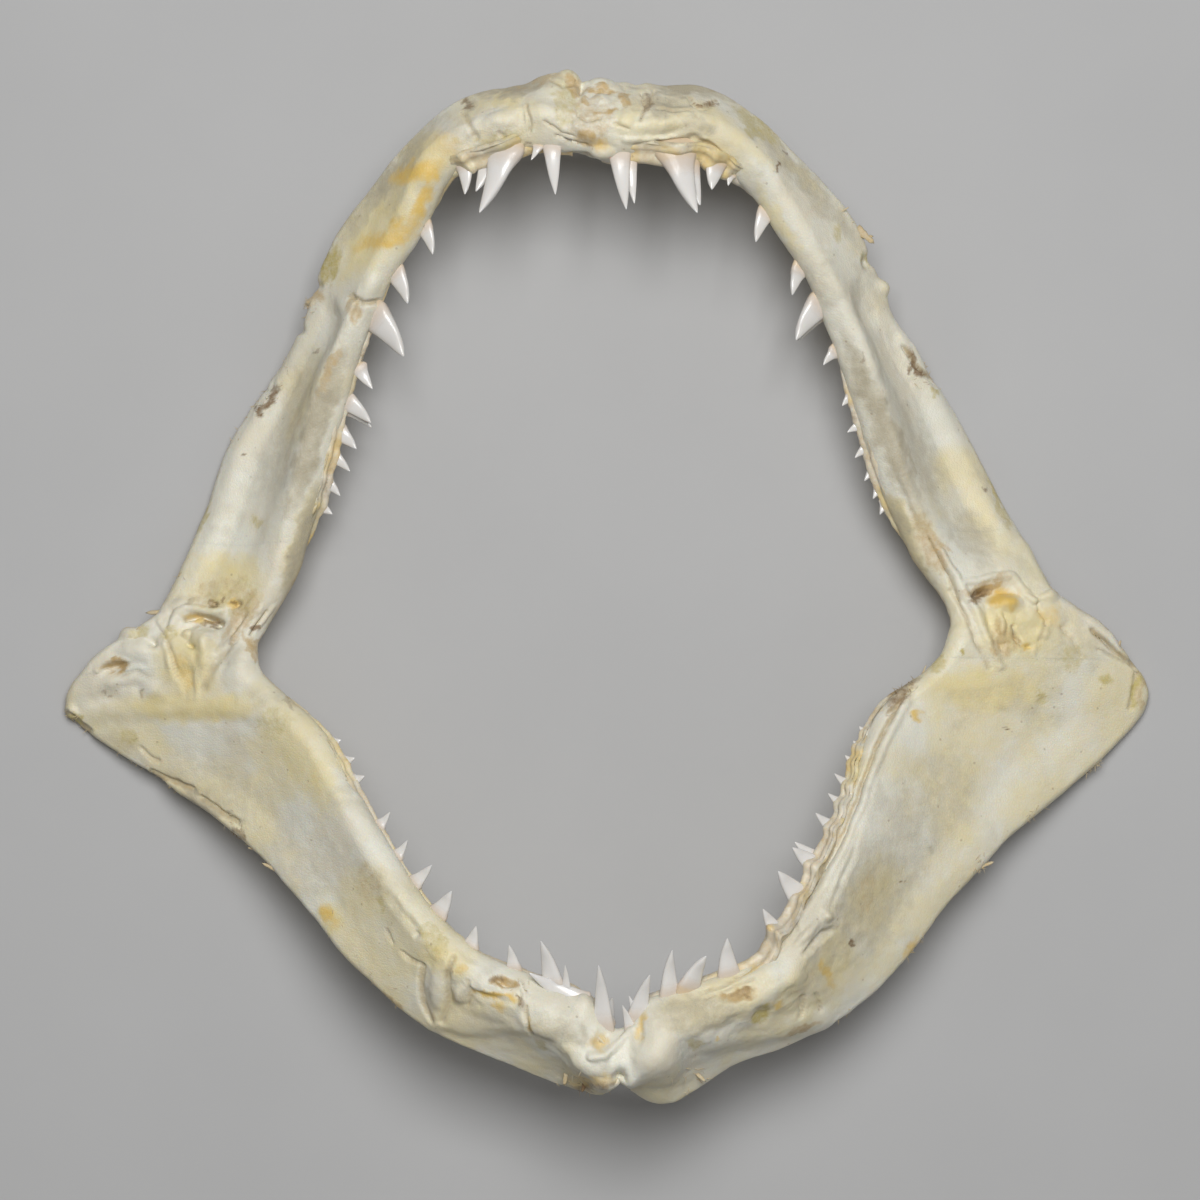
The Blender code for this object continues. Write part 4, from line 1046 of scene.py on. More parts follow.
def add_piece(name, vertices, faces, material, masks=None, smooth_faces=True):
    """Make a mesh object from millimetre points, with each mask as a float attribute."""
    mesh = bpy.data.meshes.new(name)
    mesh.from_pydata([tuple(point) for point in np.asarray(vertices) * MM], [], faces)
    mesh.validate()
    for kind, values in (masks or {}).items():
        layer = mesh.attributes.new(kind, 'FLOAT', 'POINT')
        layer.data.foreach_set("value", np.ascontiguousarray(values, dtype=np.float32))
    if smooth_faces:
        mesh.shade_smooth()
    mesh.materials.append(material)
    piece = bpy.data.objects.new(name, mesh)
    bpy.context.scene.collection.objects.link(piece)
    return piece


def ring_faces(rings, count, first=0, closed_ends=True, outward=True):
    """Faces between rings of equal count, numbered from first, with a fan at each end."""
    faces = []
    pairs = [(i, (i + 1) % count) for i in range(count)]
    for ring in range(rings - 1):
        low = first + ring * count
        for i, j in pairs:
            faces.append((low + i, low + j, low + count + j, low + count + i))
    if closed_ends:
        start = first + rings * count
        last = start - count
        for i, j in pairs:
            faces.append((first + j, first + i, start))
            faces.append((last + i, last + j, start + 1))
    if not outward:
        faces = [tuple(reversed(face)) for face in faces]
    return faces


def turns_outward(points):
    """Whether rings whose faces run round and then along face outward."""
    around = np.roll(points, -1, axis=1) - points
    along = np.gradient(points, axis=0)
    middle = points.mean(axis=1, keepdims=True)
    return float(np.sum(np.cross(around, along) * (points - middle))) > 0.0


def end_faces(u, side):
    """Triangles that close a ring of section points straight across the sheet."""
    outer = [i for i in range(len(u)) if side[i] > 0.0]
    inner = [0] + [i for i in range(len(u) - 1, 0, -1) if side[i] < 0.0] + [outer[-1]]
    faces = []
    here = 0
    there = 0
    while here + 1 < len(outer) or there + 1 < len(inner):
        inner_done = there + 1 == len(inner)
        if inner_done or (here + 1 < len(outer) and u[outer[here + 1]] <= u[inner[there + 1]]):
            faces.append((outer[here], outer[here + 1], inner[there]))
            here += 1
        else:
            faces.append((outer[here], inner[there + 1], inner[there]))
            there += 1
    return [face for face in faces if len(set(face)) == 3]


def sheet_piece(name, points, u, side, material, masks):
    """A closed piece from a grid of section rings, each end closed straight across."""
    rings, count = points.shape[:2]
    last = (rings - 1) * count
    outward = turns_outward(points)
    faces = ring_faces(rings, count, closed_ends=False, outward=outward)
    for face in end_faces(u, side):
        start = tuple(reversed(face))
        stop = tuple(last + i for i in face)
        faces.extend((start, stop) if outward else (start[::-1], stop[::-1]))
    values = {kind: mask.reshape(-1) for kind, mask in masks.items()}
    return add_piece(name, points.reshape(-1, 3), faces, material, values)


def closed_piece(name, points, material, masks):
    """A closed piece from a grid of rings, with a middle point at each end."""
    rings, count = points.shape[:2]
    ends = np.stack((points[0].mean(axis=0), points[-1].mean(axis=0)))
    vertices = np.concatenate((points.reshape(-1, 3), ends))
    faces = ring_faces(rings, count, outward=turns_outward(points))
    values = {}
    for kind, mask in masks.items():
        values[kind] = np.concatenate((mask.reshape(-1), (mask[0].mean(), mask[-1].mean())))
    return add_piece(name, vertices, faces, material, values)


def keep_above_floor(points):
    """Flatten what would lie below the floor."""
    points = points.copy()
    points[..., 2] = np.maximum(points[..., 2], 0.0)
    return points


class Nodes:
    """Adds and links the nodes of one node tree."""

    def __init__(self, tree):
        self.tree = tree

    def add(self, kind, sockets=None, **settings):
        """Add a node, set what is named, and fill its inputs with values or links."""
        node = self.tree.nodes.new(kind)
        for key, value in settings.items():
            setattr(node, key, value)
        for key, value in (sockets or {}).items():
            self.fill(node.inputs[key], value)
        return node

    def fill(self, socket, value):
        """Link a socket to another, or give it a value."""
        if isinstance(value, bpy.types.NodeSocket):
            self.tree.links.new(value, socket)
        else:
            socket.default_value = value

    def mask(self, name):
        """A mask that the mesh carries."""
        node = self.add("ShaderNodeAttribute", attribute_name=name, attribute_type='GEOMETRY')
        return node.outputs["Fac"]

    def noise(self, place, size, detail=4.0, rough=0.55):
        """Noise with waves of about size millimetres."""
        node = self.add("ShaderNodeTexNoise",
                        {"Vector": place, "Scale": 1.0 / (size * MM), "Detail": detail,
                         "Roughness": rough})
        return node.outputs["Fac"]

    def spread(self, value, low, high, out_low=0.0, out_high=1.0):
        """Stretch a value from low..high to out_low..out_high, softly."""
        node = self.add("ShaderNodeMapRange",
                        {"Value": value, "From Min": low, "From Max": high,
                         "To Min": out_low, "To Max": out_high},
                        interpolation_type='SMOOTHSTEP')
        return node.outputs["Result"]

    def math(self, operation, first, second=0.0):
        """One step of arithmetic."""
        node = self.add("ShaderNodeMath", operation=operation)
        self.fill(node.inputs[0], first)
        self.fill(node.inputs[1], second)
        return node.outputs["Value"]

    def mix(self, share, first, second):
        """Mix two colours."""
        node = self.add("ShaderNodeMix", data_type='RGBA')
        self.fill(node.inputs["Factor"], share)
        for key, colour in (("A", first), ("B", second)):
            plain = not isinstance(colour, bpy.types.NodeSocket)
            self.fill(node.inputs[key], (*colour, 1.0) if plain else colour)
        return node.outputs["Result"]

    def group(self, tree, sockets):
        """Place a node group."""
        return self.add("ShaderNodeGroup", sockets, node_tree=tree).outputs

    def place(self):
        """Where a point lies on its own piece."""
        return self.add("ShaderNodeTexCoord").outputs["Object"]

    def bump(self, shader, height, strength, depth):
        """Give the shader a fine relief, depth millimetres deep."""
        node = self.add("ShaderNodeBump", {"Height": height, "Strength": strength,
                                           "Distance": depth * MM})
        self.fill(shader.inputs["Normal"], node.outputs["Normal"])


COLOUR = "NodeSocketColor"
NUMBER = "NodeSocketFloat"


def new_group(name, colours, numbers, outputs):
    """Start a shader node group: its inputs for colours, for numbers and what it puts out."""
    tree = bpy.data.node_groups.new(name, "ShaderNodeTree")
    for label in colours:
        tree.interface.new_socket(label, in_out='INPUT', socket_type=COLOUR)
    for label, value in numbers.items():
        socket = tree.interface.new_socket(label, in_out='INPUT', socket_type=NUMBER)
        socket.default_value = value
    for label, kind in outputs.items():
        tree.interface.new_socket(label, in_out='OUTPUT', socket_type=kind)
    nodes = Nodes(tree)
    return nodes, nodes.add("NodeGroupInput").outputs, nodes.add("NodeGroupOutput").inputs


def stain_and_shade_group():
    """One stain or painted shade laid over a colour, broken up by noise at its edges and mottled
    inside.
    """
    if "stain_and_shade_layer" in bpy.data.node_groups:
        return bpy.data.node_groups["stain_and_shade_layer"]
    numbers = {"Mask": 0.0, "Size": 4.0, "Raggedness": 0.5}
    nodes, start, end = new_group("stain_and_shade_layer", ("Base", "Stain or Shade"), numbers, {"Colour": COLOUR})
    place = nodes.place()
    waves = nodes.math('DIVIDE', 1.0 / MM, start["Size"])
    noise = nodes.add("ShaderNodeTexNoise", {"Vector": place, "Scale": waves, "Detail": 5.0,
                                             "Roughness": 0.72}).outputs["Fac"]
    swing = nodes.math('SUBTRACT', noise, 0.5)
    swing = nodes.math('MULTIPLY', swing, start["Raggedness"])
    swing = nodes.math('MULTIPLY', swing, nodes.spread(start["Mask"], 0.0, 0.2))
    share = nodes.math('ADD', start["Mask"], nodes.math('MULTIPLY', swing, 2.0))
    share = nodes.math('MINIMUM', nodes.math('MAXIMUM', share, 0.0), 1.0)
    nodes.fill(end["Colour"], nodes.mix(share, start["Base"], start["Stain or Shade"]))
    return nodes.tree


def grain_group():
    """Fine relief of dried tissue: soft pits, tiny tiles of mineral and short wrinkles."""
    if "dry_grain" in bpy.data.node_groups:
        return bpy.data.node_groups["dry_grain"]
    numbers = {"Tile Size": 0.9, "Tiles": 0.3, "Wrinkles": 0.5}
    outputs = {"Height": NUMBER, "Mottle": NUMBER, "Speckle": NUMBER}
    nodes, start, end = new_group("dry_grain", (), numbers, outputs)
    place = nodes.place()
    waves = nodes.math('DIVIDE', 1.0 / MM, start["Tile Size"])
    tiles = nodes.add("ShaderNodeTexVoronoi", {"Vector": place, "Scale": waves},
                      feature='DISTANCE_TO_EDGE').outputs["Distance"]
    tiles = nodes.spread(tiles, 0.0, 0.18)
    wrinkles = nodes.noise(place, 1.6, 6.0, 0.65)
    soft = nodes.noise(place, 7.0, 4.0, 0.5)
    height = nodes.math('MULTIPLY', tiles, start["Tiles"])
    height = nodes.math('ADD', height, nodes.math('MULTIPLY', wrinkles, start["Wrinkles"]))
    height = nodes.math('ADD', height, soft)
    nodes.fill(end["Height"], height)
    nodes.fill(end["Mottle"], nodes.noise(place, 18.0, 5.0, 0.6))
    speck = nodes.add("ShaderNodeTexVoronoi", {"Vector": place, "Scale": 1.0 / (5.5 * MM),
                                               "Randomness": 1.0}).outputs["Distance"]
    nodes.fill(end["Speckle"], nodes.spread(speck, 0.10, 0.04))
    return nodes.tree


def principled(name):
    """A new material, its nodes and its shader."""
    material = bpy.data.materials.new(name)
    material.use_nodes = True
    shader = material.node_tree.nodes["Principled BSDF"]
    return material, Nodes(material.node_tree), shader


def glow_through(shader, weight, radius, depth):
    """Let light pass through the skin, depth millimetres deep."""
    shader.inputs["Subsurface Weight"].default_value = weight
    shader.inputs["Subsurface Radius"].default_value = radius
    shader.inputs["Subsurface Scale"].default_value = depth * MM


# Kinds of stain and painted shade from the lowest layer to the topmost: size of the noise that
# breaks up the edge, in millimetres, and how ragged it is
STAIN_AND_SHADE_LAYERS = (("cream", 7.0, 0.6), ("grey_and_painted_shade", 5.0, 0.7), ("tan", 2.4, 0.9), ("olive", 1.8, 0.9),
                ("ochre", 2.6, 0.5), ("brown", 1.8, 0.8))


def dried_finish(name, rough, glow, tiles, own_colour=None):
    """Dried cartilage, or tissue with a colour of its own: two base colours, the stains and
    painted shade over them and the fine relief."""
    settings = bpy.context.scene.jaw_cartilage
    base, shade = settings.base, settings.shade
    if own_colour is not None:
        base, shade = own_colour, tuple(0.8 * part for part in own_colour)
    material, nodes, shader = principled(name)
    grain = nodes.group(grain_group(), {"Tile Size": 0.9, "Tiles": tiles, "Wrinkles": 0.5})
    mottle = nodes.spread(grain["Mottle"], 0.36, 0.66)
    colour = nodes.mix(mottle, base, shade)
    place = nodes.place()
    bleached = nodes.spread(nodes.noise(place, 5.0, 5.0, 0.6), 0.52, 0.68, 0.0, 0.5)
    colour = nodes.mix(bleached, colour, settings.pale)
    for kind, size, ragged in STAIN_AND_SHADE_LAYERS:
        layer = nodes.group(stain_and_shade_group(), {
            "Base": colour, "Stain or Shade": (*getattr(settings, kind), 1.0), "Mask": nodes.mask(kind),
            "Size": size, "Raggedness": ragged})
        colour = layer["Colour"]
    speck = nodes.math('MULTIPLY', grain["Speckle"], 0.35)
    nodes.fill(shader.inputs["Base Color"], nodes.mix(speck, colour, settings.brown))
    nodes.fill(shader.inputs["Roughness"], nodes.spread(grain["Mottle"], 0.3, 0.7,
                                                        rough - 0.07, rough + 0.08))
    nodes.bump(shader, grain["Height"], 0.5, 0.35)
    shader.subsurface_method = 'RANDOM_WALK'
    glow_through(shader, glow, (1.0, 0.7, 0.4), 1.6)
    return material


GLASSY_TIP = (0.70, 0.72, 0.74)


def tooth_finish(settings):
    """Glossy enamel over a dull root, by the mask that runs from the root to the tip."""
    material, nodes, shader = principled("enamel_and_root")
    rise = nodes.mask("rise")
    place = nodes.place()
    streaks = nodes.noise(place, 1.2, 3.0)
    sway = nodes.math('MULTIPLY', nodes.math('SUBTRACT', streaks, 0.5), 0.12)
    height = nodes.math('ADD', rise, sway)
    colour = nodes.mix(nodes.spread(height, -0.24, -0.06), settings.root, settings.neck)
    colour = nodes.mix(nodes.spread(height, -0.06, 0.26), colour, settings.enamel)
    colour = nodes.mix(nodes.spread(height, 0.86, 1.02, 0.0, 0.25), colour, GLASSY_TIP)
    nodes.fill(shader.inputs["Base Color"], colour)
    nodes.fill(shader.inputs["Roughness"], nodes.spread(height, -0.05, 0.2, 0.6, 0.22))
    nodes.bump(shader, nodes.noise(place, 0.7, 4.0), 0.15, 0.1)
    shader.inputs["Coat Weight"].default_value = 0.25
    shader.inputs["Coat Roughness"].default_value = 0.12
    glow_through(shader, 0.15, (1.0, 0.8, 0.6), 1.2)
    return material


CARTILAGE_STEPS = (104, 44)    # steps of a ring over the outer and over the inner face
COVERED_ENDS = (0.7, 10.1)     # places from which the sleeves cover it in front and behind
COVERED_BY = 0.6               # how much lower a cartilage lies there
COVER_BLEND = 0.5              # stations over which it gets there


def make_cartilage(half, material):
    """One cartilage with its hollows, folds, cracks, stains and painted shade."""
    settings = bpy.context.scene.jaw_cartilage
    cut = read_sections(half, spaced_places(half, settings.spacing))
    u, side = ring_steps(*CARTILAGE_STEPS)
    points = carve(skin_points(cut, u, side), settings.relief)
    front, rear = COVERED_ENDS
    covered = (smooth((front - cut.places) / COVER_BLEND)
               + smooth((cut.places - rear) / COVER_BLEND))
    points = points - grid_normals(points) * (COVERED_BY * covered)[:, None, None]
    points = keep_above_floor(points)
    masks = stain_and_shade_masks(points, grid_normals(points))
    piece = sheet_piece(f"cartilage_{half.name}", points, u, side, material, masks)
    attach(piece, "root")
    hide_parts(CAD_NODES[half.name])
    return piece


LIGAMENT_STEPS = (130, 50)
SYMPHYSIS_STEPS = (120, 50)
LIGAMENT_PLACES = (11.0, 9.5)    # where a ligament's two halves meet, and where it ends
SYMPHYSIS_PLACES = (0.0, 1.3)
SLEEVE_KEYS = 24          # key rings on each half
SLEEVE_SPACING = 0.36
SLEEVE_LIFT = 0.04        # how far a sleeve's thin parts stand off the cartilage
SLEEVE_SINK = 0.9         # how far its ends dip under the cartilage's skin
SINK_REACH = 2.5          # and over how much of the way
COVER_START = 3.0         # how far from an end it starts to gain its thickness
COVER_REACH = 5.0         # and over how much of the way
COVER_STRAY = 1.5         # how far that start strays


def sleeve_rings(first, second, near, far, u, side):
    """Rings of a piece that covers two cartilages from place far to place near, and the room
    between their ends at near."""
    places = np.linspace(far, near, SLEEVE_KEYS)
    start = skin_points(read_sections(first, places), u, side)
    stop = skin_points(read_sections(second, places[::-1]), u, side)
    return np.concatenate((start, stop))


def spaced_rings(keys, spacing):
    """Smooth rings through the key rings, spacing apart, and how far each is from an end."""
    run = run_along(keys.mean(axis=1))
    stops = np.linspace(0.0, run[-1], int(run[-1] / spacing) + 1)
    slopes = np.gradient(keys, run, axis=0)
    index = np.clip(np.searchsorted(run, stops, side='right') - 1, 0, len(run) - 2)
    gap = (run[index + 1] - run[index])[:, None, None]
    part = (stops - run[index])[:, None, None] / gap
    rise = smooth(part)
    bulge = (1.0 - part) * slopes[index] - part * slopes[index + 1]
    rings = keys[index] * (1.0 - rise) + keys[index + 1] * rise
    return rings + gap * part * (1.0 - part) * bulge, np.minimum(stops, run[-1] - stops)


def make_sleeve(name, keys, u, side, material, node):
    """Dried tissue over two cartilages' ends, that thins out under their skin at its own ends."""
    settings = bpy.context.scene.jaw_cartilage
    thick = bpy.context.scene.jaw_tissue.thick
    points, from_end = spaced_rings(keys, SLEEVE_SPACING)
    uneven = ripples(points, 5.0, RELIEF_SEED + 3, 3)
    cover = smooth((from_end[:, None] - COVER_START + COVER_STRAY * uneven) / COVER_REACH)
    sunk = 1.0 - smooth(from_end / SINK_REACH)[:, None]
    points = carve(points, settings.relief)
    lift = thick * cover + SLEEVE_LIFT - SLEEVE_SINK * sunk
    points = keep_above_floor(points + grid_normals(points) * lift[..., None])
    masks = stain_and_shade_masks(points, grid_normals(points))
    piece = sheet_piece(name, points, u, side, material, masks)
    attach(piece, "root")
    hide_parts(node)
    return piece


def circle(sides):
    """Even steps round a circle, as cosines and sines."""
    angles = [2.0 * math.pi * side / sides for side in range(sides)]
    return [(math.cos(angle), math.sin(angle)) for angle in angles]


FLAT_SIDE = 0.40          # share of a crown's thickness on the side towards the lips
CROWN_ROUND = 0.85


def lens_ring(width, thick, sides):
    """A ring of a crown's section: flat towards the lips, round towards the tongue."""
    ring = []
    for x, y in circle(sides):
        share = FLAT_SIDE if y > 0.0 else FLAT_SIDE - 1.0
        ring.append((x * width * 0.5, share * abs(y) ** CROWN_ROUND * thick))
    return ring


# Height from the neck in crown lengths, and width in base widths, of a small and of a large tooth
CROWN_PROFILE = ((0.0, 1.0, 1.0), (0.05, 0.92, 0.95), (0.11, 0.80, 0.89), (0.18, 0.69, 0.83),
                 (0.26, 0.60, 0.77), (0.35, 0.53, 0.705), (0.45, 0.465, 0.63), (0.55, 0.40, 0.55),
                 (0.65, 0.33, 0.46), (0.74, 0.265, 0.37), (0.82, 0.20, 0.28), (0.89, 0.14, 0.19),
                 (0.94, 0.09, 0.12), (0.975, 0.05, 0.07))
LARGE_TOOTH = (4.0, 10.0)    # lengths between which a crown's outline turns from small to large
WHOLE_TOOTH = 11.0           # width of a base from which the wide root shows above a slim crown
ROOT_PROFILE = ((-6.0, 0.55), (-4.5, 0.85), (-3.0, 1.0), (-1.5, 1.04))
CROWN_CURL = 0.05            # how far a crown bows in its middle, in lengths
CROWN_THICK = 0.62           # thickness of a crown in widths at the same height
BASE_THICK = 0.34            # thickness in widths of the base, where that is more
CROWN_SHARE = 0.9            # share of that thickness which the crown has
ROOT_SHARE = 0.8             # share of it which the root has


def tooth_rings(root, direction, sideways, length, width, bend, sides, root_depth=1.0,
                bare=0.0):
    """Rings, tip and rise of one tooth that bends sideways by a share of its length. The rise
    runs from 0 at the enamel's edge to 1 at the tip."""
    thick_way = direction.cross(sideways).normalized()
    if thick_way.z < 0.0:
        thick_way.negate()
    rings = []
    rises = []
    small, large = LARGE_TOOTH
    full = float(smooth((length - small) / (large - small))) if width < WHOLE_TOOTH else 0.0
    profile = [(height * root_depth / length, share) for height, share in ROOT_PROFILE]
    profile += [(height, slim + (wide - slim) * full) for height, slim, wide in CROWN_PROFILE]
    for height, share in profile:
        sway = bend * max(0.0, height) ** 2 * length
        curl = -CROWN_CURL * length * math.sin(math.pi * min(1.0, max(0.0, height)))
        middle = root + direction * (height * length) + sideways * sway + thick_way * curl
        base = width * share
        thickness = max(base * CROWN_THICK, min(base, width * BASE_THICK))
        thickness = thickness * (CROWN_SHARE if height > 0.0 else ROOT_SHARE)
        ring = [middle + sideways * x + thick_way * y
                for x, y in lens_ring(base, thickness, sides)]
        rings.append(ring)
        rises.append((height * length - bare) / (length - bare))
    tip = root + direction * length + sideways * (bend * length)
    return rings, rises, tip


def tooth_mesh(teeth):
    """Vertices, faces and rise of many teeth, each a closed skin from root to tip."""
    vertices = []
    faces = []
    rises = []
    for rings, heights, tip in teeth:
        first = len(vertices)
        count = len(rings[0])
        for ring, height in zip(rings, heights):
            vertices.extend(ring)
            rises.extend([height] * count)
        points = np.array([[tuple(p) for p in ring] for ring in rings])
        vertices.append(sum(rings[0], Vector()) / count)
        rises.append(heights[0])
        vertices.append(tip)
        rises.append(1.0)
        faces.extend(ring_faces(len(rings), count, first, outward=turns_outward(points)))
    return vertices, faces, np.array(rises)


def turned(vector, axis, degrees):
    """The vector turned about an axis by the right-hand rule."""
    angle = math.radians(degrees)
    axis = axis.normalized()
    flat = vector * math.cos(angle) + axis.cross(vector) * math.sin(angle)
    return flat + axis * (axis.dot(vector) * (1.0 - math.cos(angle)))


TOOTH_LIFT = 20.0         # degrees that the standing teeth rise above the level
FALLEN_LEAN = 50.0        # degrees along the margin from which a tooth has fallen over
FALLEN_LIFT = 8.0         # degrees that a fallen tooth rises above the level
FALLEN_SINK = 1.2         # how much deeper the largest fallen tooth lies
FALLEN_HOLD = 0.3         # share of its root that a fallen tooth still has in the jaw
LARGEST_FALLEN = 17.0     # length of the largest fallen tooth
TOOTH_SINK = 2.4          # how far the roots lie below the margin's edge, less their bare part
ROOT_INSET = 1.4          # how far behind the margin the roots stand
ROOT_START = 0.4          # how far below the margin a crown starts
GUM_COVER = 0.6           # share of the hidden length by which the gum pushes a crown out
SWAYED_LEAN = 8           # degrees of lean from which a crown bends along with it
CROWN_BENDS = (0.02, 0.06)             # how far an upright and a leaning crown bend, in lengths
TOOTH_SIDES = 20          # points round a standing tooth
READY_TURN = 9.0          # degrees that the tooth behind a standing one still has to rise
READY_BACK = 2.4          # how far behind the standing one it has its root
LYING_TURNS = (138.0, 158.0, 170.0)    # degrees between a lying tooth and the margin's edge
LYING_DEPTHS = (4.5, 9.0, 13.0)        # how far behind the margin each lying row has its roots
LYING_LENGTH = 0.9        # share of the standing tooth's length
LYING_SIDES = 12          # points round it
LYING_BEND = 0.04         # most that it bends, in lengths
LYING_HOLD = 0.4          # share of its root that it has
LYING_SLIP = 4.0          # degrees by which lying teeth differ


def margin_frame(half, place):
    """The tooth margin's point and directions at a place, as vectors."""
    cut = read_sections(half, [place])
    margin = Vector(read_stations(half.stations, [place])[0][:3])
    return (margin, Vector(cut.tooth[0]), Vector(cut.across[0]), Vector(cut.facing[0]),
            Vector(cut.along[0]))


def standing_tooth(half, row, turn, back, size, aside):
    """A tooth on the margin, or the one that stands ready behind it."""
    place, length, width, lean, hidden, bare, _ = row
    margin, _, across, facing, along = margin_frame(half, place)
    inward = Vector((-across.x, -across.y, 0.0)).normalized()
    level = turned(inward, UP, lean)
    lift = math.radians((TOOTH_LIFT if abs(lean) < FALLEN_LEAN else FALLEN_LIFT) - turn)
    direction = level * math.cos(lift) + UP * math.sin(lift)
    wide = (along - direction * along.dot(direction)).normalized()
    hold = 1.0
    if abs(lean) > FALLEN_LEAN:
        wide = direction.cross(UP * math.copysign(1.0, lean)).normalized()
        margin = margin - UP * (FALLEN_SINK * min(1.0, length / LARGEST_FALLEN))
        hold = FALLEN_HOLD
    upright, leaning = CROWN_BENDS
    bend = math.copysign(leaning, lean) if abs(lean) > SWAYED_LEAN else upright
    bend = bend if along.cross(inward).z < 0.0 else -bend
    towards = wide if wide.dot(along) > 0.0 else -wide
    root = (margin - facing * (back + ROOT_INSET) + towards * aside
            + direction * (hidden * GUM_COVER - ROOT_START))
    root.z -= max(0.0, TOOTH_SINK - bare)
    reach = (length - hidden * GUM_COVER + ROOT_START) * size
    return tooth_rings(root, direction, wide, reach, width * size, bend, TOOTH_SIDES, hold, bare)


def lying_tooth(half, row, level, size, slip):
    """A replacement that lies on the lingual face, its tip away from the margin."""
    place, length, width = row[:3]
    _, tooth, across, facing, along = margin_frame(half, place)
    progress = place / (len(half.stations) - 1.0)
    _, lingual = thicknesses(half.form, progress)
    angle = math.radians(LYING_TURNS[level] + slip * LYING_SLIP)
    direction = -across * math.cos(angle) - facing * math.sin(angle)
    root = tooth + across * LYING_DEPTHS[level] - facing * (float(lingual) - 0.2)
    wide = (along + across * (0.12 * slip)).normalized()
    wide = (wide - direction * wide.dot(direction)).normalized()
    reach = length * LYING_LENGTH * size
    return tooth_rings(root, direction, wide, reach, width * size, LYING_BEND * slip,
                       LYING_SIDES, LYING_HOLD)


def make_teeth(half, material):
    """The standing row of one half, the teeth ready behind it and the lying rows."""
    rng = random.Random(half.seed)
    teeth = []
    for row in half.teeth:
        teeth.append(standing_tooth(half, row, 0.0, 0.0, 1.0, 0.0))
        if row.ready:
            aside, size = row.ready
            teeth.append(standing_tooth(half, row, READY_TURN, READY_BACK, size, aside))
        for level in range(len(LYING_TURNS)):
            size = rng.uniform(0.8, 0.95) - 0.07 * level
            teeth.append(lying_tooth(half, row, level, size, rng.uniform(-1.0, 1.0)))
    vertices, faces, rises = tooth_mesh(teeth)
    piece = add_piece(f"teeth_{half.name}", vertices, faces, material, {"rise": rises})
    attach(piece, "root")
    return piece


# Section of the dried gum: how far it lies along the way from its rim, where the teeth stand,
# to its end under the jaw, and how far below the sheet in thicknesses of the lingual face
GUM_SECTION = ((-0.35, 0.10), (-0.15, 0.0), (0.0, -0.22), (0.05, -0.50), (0.0, -0.85),
               (0.12, -1.14), (0.35, -1.28), (0.60, -1.28), (0.85, -1.14), (1.0, -0.85),
               (0.7, -0.50), (0.2, -0.10))
GUM_DEPTH = 13.0          # how far the gum reaches under the jaw
GUM_LIP = 4.0             # how far its rim curls back over the margin
GUM_SPACING = 0.5
GUM_POINTS = 52           # points round its section
LEAST_BEAD = 0.18         # half width of the narrowest bead over a root, in stations
BEAD_WIDTH = 0.55         # half width of a bead in tooth widths
BEAD_RISE = 0.2           # how far a bead stands out
GUM_FADE = 0.4            # stations over which it thins towards its end


def make_gum(half, material):
    """The dried gum that holds the tooth rows, lumpy over each root."""
    gum = np.array(half.gum)
    places = spaced_places(half, GUM_SPACING, 0.02, gum[-1, 0])
    cut = read_sections(half, places)
    _, lingual = thicknesses(half.form, cut.progress)
    row_width = float(np.mean(cut.width)) * 0.45
    beads = np.zeros(len(places))
    for tooth in half.teeth:
        bead_width = max(LEAST_BEAD, BEAD_WIDTH * tooth.width / row_width)
        beads = np.maximum(beads, swell(places, tooth.place, bead_width))
    beads = beads[:, None]
    reach = np.interp(places, gum[:, 0], gum[:, 1])[:, None]
    reach = reach * np.where(reach > 0.0, 0.75 + 0.35 * beads, 1.0)
    fade = smooth((gum[-1, 0] - places) / GUM_FADE)[:, None]
    rim = (cut.room + reach - 0.55 * lingual * cut.tilt) / np.maximum(cut.level, 0.3)
    section = read_loop(np.array(GUM_SECTION), GUM_POINTS)
    inward = section[:, 0] * np.where(section[:, 0] > 0.0, GUM_DEPTH, -GUM_LIP)
    across = inward[None, :] - rim
    depth = section[None, :, 1] * lingual * (0.88 + 0.12 * fade)
    points = (cut.tooth[:, None] + cut.across[:, None] * across[..., None]
              + cut.facing[:, None] * depth[..., None])
    normals = grid_normals(points)
    push = (0.28 * ripples(points, 3.0, half.seed + 3, 3)
            + 0.3 * ripples(points, 7.0, half.seed, 2) + BEAD_RISE * beads)
    points = points + normals * push[..., None]
    masks = stain_and_shade_masks(points, normals)
    patch = ripples(points, 5.0, half.seed + 21, 3)
    stained = bpy.context.scene.jaw_tissue.stained
    lay(masks, "tan", stained * 0.7 * smooth(0.4 + 1.4 * patch))
    lay(masks, "brown", stained * 0.5 * smooth(-2.2 * patch - 1.0))
    lay(masks, "ochre", stained * smooth(1.8 * ripples(points, 7.0, half.seed + 31, 2)))
    piece = closed_piece(f"gum_{half.name}", points, material, masks)
    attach(piece, "root")
    return piece


def read_loop(rows, count):
    """A smooth closed curve through the rows, read at count even steps."""
    total = len(rows)
    wrapped = np.concatenate((rows[-1:], rows, rows[:2]))
    places = 1.0 + np.arange(count) * total / count
    return read_stations(wrapped, places)


FIBRE_PARTS = [step / 5 for step in range(5)]
LEAF_PARTS = [step / 7 for step in range(7)]


def thin_ring(middle, aside, up, half_wide, half_thick, sides):
    """An oval ring round a middle."""
    return [middle + aside * (x * half_wide) + up * (y * half_thick) for x, y in circle(sides)]


